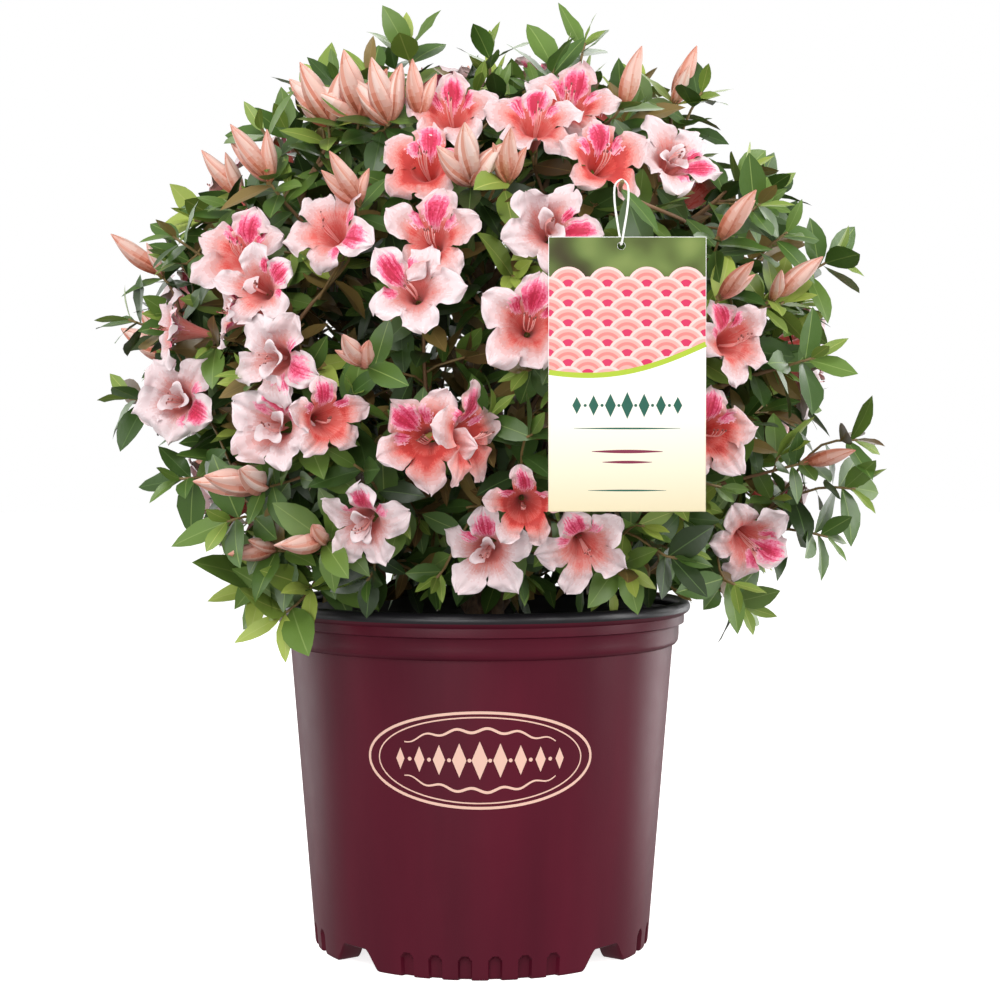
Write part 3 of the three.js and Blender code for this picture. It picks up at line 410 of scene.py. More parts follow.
# %% [markdown]
# ## The pot
# The pot is blow-moulded in maroon plastic, with a black skin inside that shows on top of the
# rolled rim. A lathe would give a round foot, but the real one stands on four feet with shallow
# flutes. So the wall is a grid of points: for each height and each angle a radius, and at the
# bottom a height for each angle. The plastic has a soft shine and faint upright drag marks.

# %% Sizes of the pot
POT_HEIGHT = 240.0
POT_SIDES = 720
WALL = 2.0
FOOT_RADIUS = 117.6
FOOT_INNER_RADIUS = 101.0
FOOT_EDGE = 0.8
FOOT_ZONE = 24.0
SHOULDER = (134.6, 209.0)
NECK = (142.5, 224.5)
ROLL_RADIUS = 4.5
ROLL_TURNS = (-65, 235)
FLOOR_UNDER = 14.0
SOIL_TOP = 212.0
BLACK_ABOVE = 233.5
BLACK_ROWS = 10
# Steps of the outer lower edge, in from the foot's radius and up from its level
OUTER_EDGE = ((1.2, 0.0), (0.35, 0.35))
# Outline over the shoulder, the band and the neck, then down inside the roll: radius and height
OUTSIDE = (
    SHOULDER, (136.9, 210.0), (138.2, 211.6), (138.6, 213), (138.9, 216), (139.0, 222.0),
    (139.6, 223.4), (141.4, 224.2), NECK, (142.7, 227), (142.6, 230.2),
)
INSIDE = ((139.8, 229), (138, 224), (137, 220), (136.4, 213))
print("the pot is", 2 * (NECK[0] + ROLL_RADIUS), "mm across its rim")

# %% Feet and flutes
FOOT_EVERY = 90
NOTCH_HEIGHT = 13.0
NOTCH_ANGLES = (4.6, 10.4)
FLUTE_PLACES = (4.75, 14.25, 23.75)
FLUTE_HALF_ANGLE = 2.1
FLUTE_HEIGHT, FLUTE_ARCH, FLUTE_END = 16.5, 4, 1.6
FLUTE_DEPTH = 3.2
FLUTE_SIDE = (0.8, 1.1)


def smoothstep(low, high, value):
    t = np.clip((value - low) / (high - low), 0, 1)
    return t * t * (3 - 2 * t)


def from_foot_middle(angles):
    """Degrees from the middle of the nearest foot, which are at the front, sides and back"""
    return np.abs((angles + FOOT_EVERY / 2) % FOOT_EVERY - FOOT_EVERY / 2)


def foot_level(angles):
    """Height of the pot's lowest edge: 0 on the feet, and raised between them"""
    from_gap = FOOT_EVERY / 2 - from_foot_middle(angles)
    return NOTCH_HEIGHT * (1 - smoothstep(*NOTCH_ANGLES, from_gap))


def flute_depth(angles, heights):
    """How far each point lies in from the plain wall, in the arched flutes of the feet"""
    away = np.min([np.abs(from_foot_middle(angles) - place) for place in FLUTE_PLACES], axis=0)
    arch = FLUTE_HEIGHT - FLUTE_ARCH * (away / FLUTE_HALF_ANGLE) ** 2
    across = 1 - smoothstep(*FLUTE_SIDE, away / FLUTE_HALF_ANGLE)
    return FLUTE_DEPTH * across * (1 - smoothstep(arch - FLUTE_END, arch, heights))


print("height of a gap between feet, mm:", foot_level(np.array([45.0]))[0])

# %% Rows of the wall
def wall_radius(heights):
    return FOOT_RADIUS + (SHOULDER[0] - FOOT_RADIUS) * heights / SHOULDER[1]


def level_row(radius, height):
    return np.full(POT_SIDES, radius), np.full(POT_SIDES, height)


def foot_rows(angles):
    """Rows under the pot from its middle out, round the edge of the feet and up the flutes"""
    level = foot_level(angles)
    inner = FOOT_INNER_RADIUS
    rows = [level_row(0.5, FLOOR_UNDER), level_row(inner - 2.0, FLOOR_UNDER)]
    rows.append(level_row(inner, FLOOR_UNDER - FOOT_EDGE))
    rows.append((np.full(POT_SIDES, inner), level + FOOT_EDGE))
    rows.append((np.full(POT_SIDES, inner + FOOT_EDGE), level))
    for inwards, up in OUTER_EDGE:
        rows.append((FOOT_RADIUS - inwards - flute_depth(angles, level), level + up))
    for share in np.linspace(0.04, 1, 20):
        height = level + FOOT_EDGE + (FOOT_ZONE - level) * share
        rows.append((wall_radius(height) - flute_depth(angles, height), height))
    return rows


def roll_outline():
    """The rolled rim, a round section on top of the neck"""
    middle = POT_HEIGHT - ROLL_RADIUS
    for turn in np.linspace(*ROLL_TURNS, 17):
        across = ROLL_RADIUS * math.cos(math.radians(turn))
        yield NECK[0] + across, middle + ROLL_RADIUS * math.sin(math.radians(turn))


def pot_rows():
    """Rows of points up the outside, over the rim and down the inside, as (radius, height)"""
    outline = [(wall_radius(h), h) for h in np.linspace(32, SHOULDER[1] - 3, 7)]
    outline += [*OUTSIDE, *roll_outline(), *INSIDE]
    outline += [(wall_radius(h) - WALL, h) for h in (206, 185)]
    angles = np.arange(POT_SIDES) * 360 / POT_SIDES
    return foot_rows(angles) + [level_row(r, h) for r, h in outline]


print("rows of the pot:", len(pot_rows()))

# %% The pot's shell and finish
def build_pot():
    rows = pot_rows()
    turn = np.radians(np.arange(POT_SIDES) * 360 / POT_SIDES)
    points = np.array([np.stack([r * np.sin(turn), -r * np.cos(turn), h], axis=1) for r, h in rows])
    quads = ring_faces(len(rows), POT_SIDES)
    heights = points.reshape(-1, 3)[quads][:, :, 2].mean(axis=1)
    inside = np.arange(len(quads)) // POT_SIDES >= len(rows) - BLACK_ROWS
    pile = Pile()
    pile.add(points, [quads], [np.where((heights > BLACK_ABOVE) | inside, 1, 0)])
    return pile


def pot_plastic():
    """Maroon plastic: a soft shine, with faint upright drag marks from the mould"""
    material, tree, shader = new_material("pot_maroon", "#501023", 0.36, 0.2)
    marks = noise_of(tree, 26.0, 4.0, (1, 1, 0.12))
    vary_colour(tree, shader, marks, [(0.3, "#4a0e1f"), (0.7, "#561124")])
    vary_roughness(tree, shader, noise_of(tree, 60.0), 0.37, 0.47)
    add_bump(tree, shader, noise_of(tree, 900.0, 2.0), 0.12, 0.0003)
    return material


black_plastic = surface("pot_black", "#17151a", 0.4, 500.0, 0.15, 0.0004)
pot = mesh_object("pot_shell", build_pot(), [pot_plastic(), black_plastic])
pot.data.set_sharp_from_angle(angle=math.radians(32))
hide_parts("pot")

# %% [markdown]
# ## The ornament on the pot
# The pot carries a pale printed ornament on its front: an oval of two lines, a row of lozenges
# across it with small dots between them, and a wavy line over and under the row. An image on the
# wall would need a map of it and would blur close up. So the ornament is cut from flat ribbons and
# dots, which are bent round the wall and lie a little proud of it.

# %% Ribbons and dots bent round the wall
PRINT_HEIGHT = 145.0
PRINT_PROUD = 0.15


def on_wall(flat):
    """Points of a flat drawing, in millimetres across and up, laid on the front of the pot"""
    flat = np.asarray(flat, float)
    heights = PRINT_HEIGHT + flat[..., 1]
    radius = wall_radius(heights) + PRINT_PROUD
    turn = flat[..., 0] / radius
    return np.stack([radius * np.sin(turn), -radius * np.cos(turn), heights], axis=-1)


def ribbon(middle, half_widths):
    """A flat ribbon along a row of flat points: left and right edges of each"""
    middle = np.asarray(middle, float)
    way = np.gradient(middle, axis=0)
    square = np.stack([-way[:, 1], way[:, 0]], axis=1) / np.linalg.norm(way, axis=1)[:, None]
    half = np.asarray(half_widths, float)[:, None]
    edges = np.stack([middle + square * half, middle - square * half], axis=1).reshape(-1, 2)
    return edges, ring_faces(len(middle), 2, closed=False)[:, ::-1]


def blob(centre, half_width, half_height, corners):
    """A filled round or cornered dot, as a fan of triangles"""
    turn = np.arange(corners) * 2 * math.pi / corners + math.pi / 2
    rim = np.stack([np.cos(turn) * half_width, np.sin(turn) * half_height], axis=1)
    points = np.concatenate([[[0, 0]], rim]) + np.asarray(centre)
    return points, np.array([[0, i + 1, (i + 1) % corners + 1] for i in range(corners)])


print("the ornament's middle is at", on_wall([0, 0]).round(1))

# %% Ornament
OVAL_HALF_WIDTH, OVAL_HALF_HEIGHT = 76.0, 31.0
# The oval's lines: share of its size, and half the line's width
OVAL_LINES = ((1.0, 0.9), (0.9, 0.45))
LOZENGES_EACH_SIDE, LOZENGE_STEP, LOZENGE_SHRINK = 4, 13.2, 0.11
LOZENGE_HALF_WIDTH, LOZENGE_HALF_HEIGHT = 5.2, 12.5
DOT_RADIUS = 1.3
WAVE_HALF_LENGTH, WAVE_HEIGHT = 50, 19.5


def oval_lines():
    turn = np.linspace(0, 2 * math.pi, 121)
    for grow, half in OVAL_LINES:
        across, up = np.cos(turn) * OVAL_HALF_WIDTH * grow, np.sin(turn) * OVAL_HALF_HEIGHT * grow
        yield ribbon(np.stack([across, up], axis=1), np.full(len(turn), half))


def lozenge_row():
    for i in range(-LOZENGES_EACH_SIDE, LOZENGES_EACH_SIDE + 1):
        size = 1 - LOZENGE_SHRINK * abs(i)
        yield blob((i * LOZENGE_STEP, 0), LOZENGE_HALF_WIDTH * size, LOZENGE_HALF_HEIGHT * size, 4)
        if i < LOZENGES_EACH_SIDE:
            yield blob((i * LOZENGE_STEP + LOZENGE_STEP / 2, 0), DOT_RADIUS, DOT_RADIUS, 12)


def wavy_lines():
    across = np.linspace(-WAVE_HALF_LENGTH, WAVE_HALF_LENGTH, 81)
    half_widths = 0.35 + 0.55 * np.cos(across / WAVE_HALF_LENGTH * math.pi / 2)
    up = WAVE_HEIGHT - across**2 / 300 + 1.4 * np.sin(across / 3.2)
    for side in (-1, 1):
        yield ribbon(np.stack([across, side * up], axis=1), half_widths)


def build_pot_print():
    pile = Pile()
    for points, faces in (*oval_lines(), *lozenge_row(), *wavy_lines()):
        pile.add(on_wall(points), [faces], [0])
    return pile


print_ink = surface("pot_print_ink", "#e6bba9", 0.5, 700.0, 0.1, 0.0002)
pot_print = mesh_object("pot_print", build_pot_print(), [print_ink], smooth=False)

# %% [markdown]
# ## The growing mix
# Nursery mix is dark composted bark with coarse chips. A disc with a displacement would look like
# lumpy clay. So a rough disc carries the shape, and a scatter of small chips, each a box with its
# corners pushed about, breaks up its surface with real edges.

# %% Surface and chips
MIX_RADIUS, MIX_RINGS, MIX_SIDES = 131.5, 32, 80
MIX_DROP, MIX_EDGE_DROP = 2.0, 3.0
# Lumps of the surface: how close, how high, and a layer of noise for each
LUMPS = ((0.03, 3.0, 0.0), (0.11, 1.6, 4.0))
CHIP_COUNT = 1000
CHIP_LEAST_HALF, CHIP_MOST_HALF = (2.0, 1.2, 0.7), (7.5, 4.0, 2.0)
CHIP_TILT, CHIP_DENT, CHIP_LIFT = 0.5, 0.35, (-0.3, 1.6)
# A whole turn in radians, near enough for a random one
WHOLE_TURN = 6.28
BOX_CORNERS = np.array([[x, y, z] for x in (-1, 1) for y in (-1, 1) for z in (-1, 1)], float)
BOX_SIDES = [[0, 1, 3, 2], [4, 6, 7, 5], [0, 4, 5, 1], [2, 3, 7, 6], [0, 2, 6, 4], [1, 5, 7, 3]]
chip_random = np.random.default_rng(11)


def mix_height(x, y):
    lumps = sum(noise.noise((x * near, y * near, layer)) * high for near, high, layer in LUMPS)
    edge = (math.hypot(x, y) / MIX_RADIUS) ** 4
    return SOIL_TOP - MIX_DROP + lumps - MIX_EDGE_DROP * edge


def rotated(points, angles):
    """Points turned about X, then Y, then Z"""
    for axis, angle in enumerate(angles):
        a, b = [(1, 2), (2, 0), (0, 1)][axis]
        c, s = math.cos(angle), math.sin(angle)
        turned = points.copy()
        turned[:, a] = points[:, a] * c - points[:, b] * s
        turned[:, b] = points[:, a] * s + points[:, b] * c
        points = turned
    return points


def add_disc(pile):
    points = []
    for ring in range(MIX_RINGS):
        radius = MIX_RADIUS * (ring + 0.2) / (MIX_RINGS - 0.8)
        for turn in np.arange(MIX_SIDES) * 2 * math.pi / MIX_SIDES:
            x, y = radius * math.sin(turn), -radius * math.cos(turn)
            points.append((x, y, mix_height(x, y)))
    pile.add(points, [ring_faces(MIX_RINGS, MIX_SIDES)[:, ::-1]], [0])


def add_chip(pile):
    radius = (MIX_RADIUS - 4) * math.sqrt(chip_random.random())
    turn = chip_random.random() * 2 * math.pi
    x, y = radius * math.cos(turn), radius * math.sin(turn)
    half = chip_random.uniform(CHIP_LEAST_HALF, CHIP_MOST_HALF)
    corners = (BOX_CORNERS + chip_random.uniform(-CHIP_DENT, CHIP_DENT, (8, 3))) * half
    angles = chip_random.uniform([-CHIP_TILT, -CHIP_TILT, 0], [CHIP_TILT, CHIP_TILT, WHOLE_TURN])
    place = (x, y, mix_height(x, y) + chip_random.uniform(*CHIP_LIFT))
    pile.add(rotated(corners, angles) + place, [BOX_SIDES], [chip_random.integers(1, 4)])


def build_mix():
    pile = Pile()
    add_disc(pile)
    for _ in range(CHIP_COUNT):
        add_chip(pile)
    return pile


mix_materials = [
    surface("mix_crumbs", "#241a14", 0.9, 300.0, 0.8, 0.002),
    surface("mix_chip_dark", "#33251b", 0.85, 400.0, 0.6, 0.001),
    surface("mix_chip_brown", "#4d3626", 0.85, 400.0, 0.6, 0.001),
    surface("mix_chip_pale", "#6f5540", 0.85, 400.0, 0.6, 0.001),
]
mix = mesh_object("growing_mix_surface", build_mix(), mix_materials, smooth=False)
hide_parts("growing_mix")

# %% [markdown]
# ## The growth rule
# The crown is an egg of shoots over the rim, with shallow hollows in its outline. It is shared
# among fifteen masses in three tiers, and each mass is one tree of twigs. Such a plant could be
# grown in steps from its root, but then no one can say where a bloom will end up. Here the tips
# come first: those that show from the front have given places, and a seeded rule spreads the
# others evenly. Each tip is then joined to the nearest free place on the tree by a curve. The
# numbers are those of the solids, so the twigs lie where the solids have them, but for those in
# the hollows, which are a little shorter.

# %% Sizes of the crown
GAP = 0.3
TRUNK_LENGTH = 46.0
TRUNK_LEAN = 5.0
TRUNK_RADII = (19.0, 14.0, 12.0)
CROWN = np.array([6.0, 0.0, 410.0])
CROWN_WIDE, CROWN_TALL = 270.0, 240.0
GOLDEN_ANGLE = math.pi * (3 - math.sqrt(5))
# Hollows: turn and rise of the middle, share of the reach that is missing, spread in turn and rise
HOLLOWS = (
    (90, 40, 0.13, 42, 12), (-90, 38, 0.11, 42, 11), (-90, -23, 0.17, 40, 7),
    (90, 4, 0.1, 36, 8), (-20, 78, 0.06, 70, 12),
)

# Tier: rise of its middle, the place of a stem's foot out and up, and the rise of the stem
TIERS = {
    "top": (90, 8, 466, 86),
    "upper": (38, 80, 412, 52),
    "lower": (-8, 90, 318, 22),
}

# Blooms: turn, rise, how far the face is turned to the right, then the look of the flower: the
# clock angle of its blotched lobe, its depth of colour from 0 to 1, its small inner petals, and
# for some its size.
# Buds: turn and rise. Shoots: turn, rise and reach.
MASSES = [
    dict(name="top", turn=0, shoots=[(43, 66)]),
    dict(
        name="upper_front", turn=5,
        blooms=[
            (-7, 37, 0, 0, 0.55, 0), (-10, 26, 0, 10, 0.95, 0), (9, 35, 0, 0, 0.6, 0),
            (19, 41, 0, 20, 0.7, 0), (19, 28, 0, 0, 1.0, 0),
        ],
        buds=[(-14, 39), (-3, 25), (3, 25), (30, 43)],
    ),
    dict(
        name="upper_right", turn=62,
        blooms=[(36, 30, 0, 120, 0.12, 2)], buds=[(64, 52)], shoots=[(63, 48), (46, 21)], hook=True,
    ),
    dict(name="upper_right_rear", turn=121),
    dict(name="upper_rear", turn=180),
    dict(name="upper_left_rear", turn=-121),
    dict(
        name="upper_left", turn=-50,
        buds=[(-34, 39), (-27, 40), (-20, 38), (-42, 28)], shoots=[(-28, 47), (-46, 35)],
    ),
    dict(
        name="lower_front", turn=2,
        blooms=[
            (-11, 6, 0, -50, 0.15, 0), (-8, 14, 0, 5, 0.5, 0), (10, 16, 0, 100, 0.15, 1),
            (6, 1, 0, 10, 0.45, 0), (-9, -15, 0, -40, 0.9, 0), (-2, -15, 55, 0, 0.9, 0),
            (1, -35, 0, 0, 0.1, 1), (6, -26, 0, 0, 0.8, 0, 0.74), (18, -33, 0, -25, 0.35, 0),
        ],
        buds=[(-18, -2)],
    ),
    dict(
        name="lower_front_right", turn=46,
        blooms=[(38, 0, 0, -30, 0.45, 0), (37, -14, 0, 0, 0.7, 0), (62, -33, -22, 115, 0.35, 0)],
        buds=[(38, 17), (49, 9), (36, 8), (68, -16)], shoots=[(51, 17), (54, -1)],
    ),
    dict(
        name="lower_right", turn=92,
        shoots=[(70, 15), (78, -12, 1.04), (78, -19, 1.08), (78, -27, 1.08), (76, -43, 1.05)],
    ),
    dict(name="lower_rear_right", turn=137),
    dict(name="lower_rear", turn=182),
    dict(name="lower_rear_left", turn=-133),
    dict(name="lower_left", turn=-82, buds=[(-76, 15)], shoots=[(-76, 6), (-78, -6)]),
    dict(
        name="lower_front_left", turn=-36,
        blooms=[
            (-43, 13, 0, 10, 0.45, 0), (-42, 4, -45, 90, 0.3, 0, 0.66), (-34, 8, 20, 60, 0.2, 0, 0.72),
            (-32, -2, 0, 110, 0.1, 2), (-58, -9, 24, 115, 0.1, 2, 1.08), (-34, -13, 0, 15, 0.15, 2),
            (-24, 15, 0, 110, 0.35, 0), (-23, -12, 45, -10, 0.6, 0, 0.78), (-21, -28, 0, 10, 0.1, 2),
            (-60, 3, -25, 90, 0.2, 0, 0.8),
        ],
        buds=[(-41, -20), (-32, -30), (-46, -32), (-21, 22)],
        shoots=[(-57, 17), (-59, -19), (-49, -26), (-57, -40), (-47.6, -42.9, 1.05)],
    ),
]
for mass in MASSES:
    mass["tier"] = mass["name"].split("_")[0]
print("masses:", len(MASSES))

# %% Boughs and side limbs
LIMB_TIP_RADIUS = 3.4
LIMB_TAPER = 0.8
LIMB_END = 8.0
BOUGH_RADIUS, LEADER_RADIUS, SIDE_LIMB_RADIUS = 6.2, 7.5, 4.6
BOUGH_STARTS = (0.6, 0.24)
BOUGH_RISE, LEADER_RISE = 36, 88
SIDE_LIMB_STARTS = (0.22, 0.4)
SIDE_LIMB_RISE = 10
SIDE_LIMB_TURN = 0.55


def trunk_point(share):
    return np.array([TRUNK_LEAN * share, 0, SOIL_TOP + GAP + TRUNK_LENGTH * share])


def stem_foot(mass):
    """Where a mass's stem starts, and which way it heads"""
    _, out, up, rise = TIERS[mass["tier"]]
    at = np.array([CROWN[0], CROWN[1], up]) + heading(mass["turn"], 0) * out
    return at, heading(mass["turn"], rise)


def make_limb(start, start_way, mass, foot_radius):
    foot, way = stem_foot(mass)
    handles = curve_between(start, start_way, foot - way * (GAP + LIMB_END), way)
    return dict(mass=mass, handles=handles, radius=foot_radius, end=foot, end_way=way)


def limb_radius(limb, share):
    return limb["radius"] + (LIMB_TIP_RADIUS - limb["radius"]) * share**LIMB_TAPER


def make_limbs():
    boughs = []
    for order, mass in enumerate([m for m in MASSES if m["tier"] != "lower"]):
        leader = mass["tier"] == "top"
        start = trunk_point(1 if leader else BOUGH_STARTS[order % 2])
        way = heading(mass["turn"], LEADER_RISE if leader else BOUGH_RISE)
        boughs.append(make_limb(start, way, mass, LEADER_RADIUS if leader else BOUGH_RADIUS))
    carried = {id(b): 0 for b in boughs}
    limbs = list(boughs)
    for mass in [m for m in MASSES if m["tier"] == "lower"]:
        hosts = [b for b in boughs if b["mass"]["tier"] == "upper"]
        parent = min(hosts, key=lambda b: 1 - math.cos(math.radians(b["mass"]["turn"] - mass["turn"])))
        share = SIDE_LIMB_STARTS[carried[id(parent)]]
        carried[id(parent)] += 1
        near = curve_points(parent["handles"], [share - 1e-4, share + 1e-4])
        along = unit(near[1] - near[0])
        way = unit(mixed(along, heading(mass["turn"], SIDE_LIMB_RISE), SIDE_LIMB_TURN))
        limbs.append(make_limb(near.mean(axis=0), way, mass, SIDE_LIMB_RADIUS))
    return limbs


LIMBS = make_limbs()
print("limbs:", len(LIMBS))

# %% Places on the crown
BLOOM_SHELL, BUD_SHELL = 0.9, 0.95
BLOOM_DEPTH = 34.0
BUD_LENGTH = 36.0
SOLID_LEAF = 64.0
# How far a piece of each kind turns from the crown's own direction towards the front and up
FORWARD_FACING = 0.45
BLOOM_LIFT, BUD_LIFT, SHOOT_LIFT = 0.12, 0.5, 0.25


def on_shell(out, share):
    across = (out[0] / CROWN_WIDE) ** 2 + (out[1] / CROWN_WIDE) ** 2
    radius = 1 / math.sqrt(across + (out[2] / CROWN_TALL) ** 2)
    return CROWN + out * radius * share


def turned_about_up(way, angle):
    c, s = math.cos(math.radians(angle)), math.sin(math.radians(angle))
    return np.array([way[0] * c - way[1] * s, way[0] * s + way[1] * c, way[2]])


def bloom_tip(turn, rise, look=0.0, clock=None, tone=None, inner=0, size=1.0, forward=FORWARD_FACING):
    out = heading(turn, rise)
    facing = turned_about_up(unit(out + FRONT * forward + UP * BLOOM_LIFT), look)
    centre = on_shell(out, BLOOM_SHELL)
    look_of = dict(clock=clock, tone=tone, inner=inner, size=size)
    return dict(kind="bloom", centre=centre, way=facing, end=centre - facing * BLOOM_DEPTH, **look_of)


def bud_tip(turn, rise):
    out = heading(turn, rise)
    way = unit(out + UP * BUD_LIFT)
    centre = on_shell(out, BUD_SHELL)
    return dict(kind="bud", centre=centre, way=way, end=centre - way * BUD_LENGTH / 2, spot=(turn, rise))


def shoot_tip(turn, rise, reach=1.0, leaf=SOLID_LEAF):
    out = heading(turn, rise)
    way = unit(out + UP * SHOOT_LIFT)
    centre = on_shell(out, reach) - way * leaf / 2
    return dict(kind="shoot", centre=centre, way=way, end=centre)


print("the crown's foremost point:", on_shell(FRONT, 1).round(1))

# %% Card and loop: sizes that the shoots keep clear of
CARD_WIDTH, CARD_HEIGHT, CARD_THICKNESS = 89.0, 155.0, 0.8
CARD_CENTRE = np.array([84.7, -262.0, 384.8])
CARD_HOLE = (81.3, 457.3)
CARD_HOLE_RADIUS = 2.2
CARD_CLEARANCE = 5.0
LOOP_RADIUS, LOOP_HALF_WIDTH = 0.6, 4.0
HOOK_UP, HOOK_PAST_CARD = 492.0, 9.0
RIM_INSIDE = NECK[0] - ROLL_RADIUS - 6
RIM_OUTSIDE = NECK[0] + ROLL_RADIUS + 3
# Lowest height for a leaf outside the rim, over the rim and over the mix
LOWEST_OUTSIDE, LOWEST_OVER_RIM, LOWEST_INSIDE = 205.0, POT_HEIGHT + 3, SOIL_TOP + 8


def hook_tip():
    end = np.array([CARD_HOLE[0], CARD_CENTRE[1] + HOOK_PAST_CARD, HOOK_UP])
    return dict(kind="hook", centre=end, way=FRONT, end=end, straight=2 * HOOK_PAST_CARD)


def clear_of_pot(points):
    out = np.hypot(points[:, 0], points[:, 1])
    within = np.where(out > RIM_INSIDE, LOWEST_OVER_RIM, LOWEST_INSIDE)
    return points[:, 2] > np.where(out > RIM_OUTSIDE, LOWEST_OUTSIDE, within)


def clear_of_card(points):
    x, y, z = points.T
    low = CARD_CENTRE[2] - CARD_HEIGHT / 2 - CARD_CLEARANCE
    high = CARD_CENTRE[2] + CARD_HEIGHT / 2 + CARD_CLEARANCE
    beside = np.abs(x - CARD_CENTRE[0]) > CARD_WIDTH / 2 + CARD_CLEARANCE
    beside_loop = np.abs(x - CARD_HOLE[0]) > LOOP_HALF_WIDTH + 3
    behind = y > CARD_CENTRE[1] + CARD_CLEARANCE
    past_card = np.where((z > low) & (z < high), beside, (z < low) | (z > HOOK_UP + 6) | beside_loop)
    return behind | past_card


def clear_of_things(points):
    points = np.atleast_2d(points)
    return clear_of_pot(points) & clear_of_card(points)


print("the crown's middle is clear of card and pot:", clear_of_things(CROWN)[0])

# %% Numbers from a seed, and even directions
# The generator that the solids were grown with, so that the twigs here get the same numbers
def seeded_random(seed):
    """A draw that gives the same numbers from the same seed, between 0 and 1"""
    state = seed

    def times(a, b):
        return (a * b) & 0xFFFFFFFF

    def draw():
        nonlocal state
        state = (state + 0x6D2B79F5) & 0xFFFFFFFF
        t = times(state ^ (state >> 15), 1 | state)
        t = ((t + times(t ^ (t >> 7), 61 | t)) & 0xFFFFFFFF) ^ t
        return (t ^ (t >> 14)) / 4294967296

    return draw


def even_headings(count):
    """Directions spread evenly over a sphere, as turn and rise"""
    for i in range(count):
        up = 1 - (2 * i + 1) / count
        turn = math.degrees(GOLDEN_ANGLE * i) % 360
        yield (turn - 360 if turn > 180 else turn), math.degrees(math.asin(up))


print("first of three even directions:", next(even_headings(3)))

# %% All the tips, by mass
SEED = 5081
OUTER_TIPS, INNER_TIPS, INNER_SHELL = 104, 18, 0.7
TIP_SPACING, BLOSSOM_SPACING = 52.0, 60.0
LOWEST_TIP = 262.0
REACHES = (0.93, 1.0)
LOOK_SPREAD = 50.0
FRONT_TURN, FRONT_RISE = 72, 60
BLOOM_SHARE, BUD_SHARE = 0.42, 0.3
# The top of the plant, seen from the front and the sides, has shoots and no blossom
SHOOTS_ABOVE, SHOOTS_WITHIN_TURN = 58, 110


def seeded_tip(turn, rise, shell, random):
    draw = random()
    reach = shell * mixed(*REACHES, random())
    in_front = abs(turn) < FRONT_TURN and rise < FRONT_RISE
    if shell < 1 or in_front or draw > BLOOM_SHARE + BUD_SHARE:
        return shoot_tip(turn, rise, reach)
    if draw < BLOOM_SHARE:
        return bloom_tip(turn, rise, LOOK_SPREAD * (random() - 0.5), forward=0.0)
    return bud_tip(turn, rise)


def hollow(turn, rise):
    """Share of the crown's reach that is missing in one direction"""
    total = 0.0
    for middle_turn, middle_rise, share, wide, tall in HOLLOWS:
        aside = (turn - middle_turn + 180) % 360 - 180
        total += share * math.exp(-((aside / wide) ** 2) - ((rise - middle_rise) / tall) ** 2)
    return total


def drawn_in(tip, turn, rise):
    """A tip moved towards the crown's middle by the hollow there, and a shoot on the top"""
    way = heading(turn, rise)
    if tip["kind"] != "shoot" and rise > SHOOTS_ABOVE and abs(turn) < SHOOTS_WITHIN_TURN:
        tip = shoot_tip(turn, rise)
    shift = (on_shell(way, 1) - CROWN) * hollow(turn, rise)
    return tip | dict(centre=tip["centre"] - shift, end=tip["end"] - shift)


def mass_towards(way):
    leans = [heading(m["turn"], TIERS[m["tier"]][0]).dot(way) for m in MASSES]
    return int(np.argmax(leans))


def given_tips(mass):
    tips = [bloom_tip(*spot) for spot in mass.get("blooms", [])]
    tips += [bud_tip(*spot) for spot in mass.get("buds", [])]
    tips += [shoot_tip(*spot) for spot in mass.get("shoots", [])]
    return tips + ([hook_tip()] if mass.get("hook") else [])


def gather_tips():
    random = seeded_random(SEED)
    by_mass = [given_tips(mass) for mass in MASSES]
    placed = [tip for tips in by_mass for tip in tips]
    for tip in placed:
        tip["given"] = True
    for shell, count in ((1, OUTER_TIPS), (INNER_SHELL, INNER_TIPS)):
        for turn, rise in even_headings(count):
            tip = seeded_tip(turn, rise, shell, random)
            room = TIP_SPACING if tip["kind"] == "shoot" else BLOSSOM_SPACING
            far = all(np.linalg.norm(other["centre"] - tip["centre"]) > room for other in placed)
            if tip["end"][2] > LOWEST_TIP and clear_of_things(tip["centre"])[0] and far:
                by_mass[mass_towards(heading(turn, rise))].append(drawn_in(tip, turn, rise))
                placed.append(tip)
    return by_mass


TIPS = gather_tips()
kinds = [tip["kind"] for tips in TIPS for tip in tips]
print("tips:", {kind: kinds.count(kind) for kind in sorted(set(kinds))})

# %% [markdown]
# ## Twigs
# A twig leaves the tree at a free place and curves out to its tip. It could simply start at the
# nearest place, but then twigs would turn back on themselves. So the cheapest place wins: near,
# with a charge for the way back to the trunk, as sap has to come that way too. After the main
# twigs, fine shoots fill the room between them by the same rule.

# %% Trees of twigs
TWIG_STEP = 42.0
PATH_COST = 0.45
WIDEST_FORK = 0.2
FORK_TURN = 0.6
FORK_PLACES = (0.35, 0.75)
FINE_PLACES = (0.1, 0.3, 0.5, 0.7, 0.9)
STEM_LENGTH = 14.0


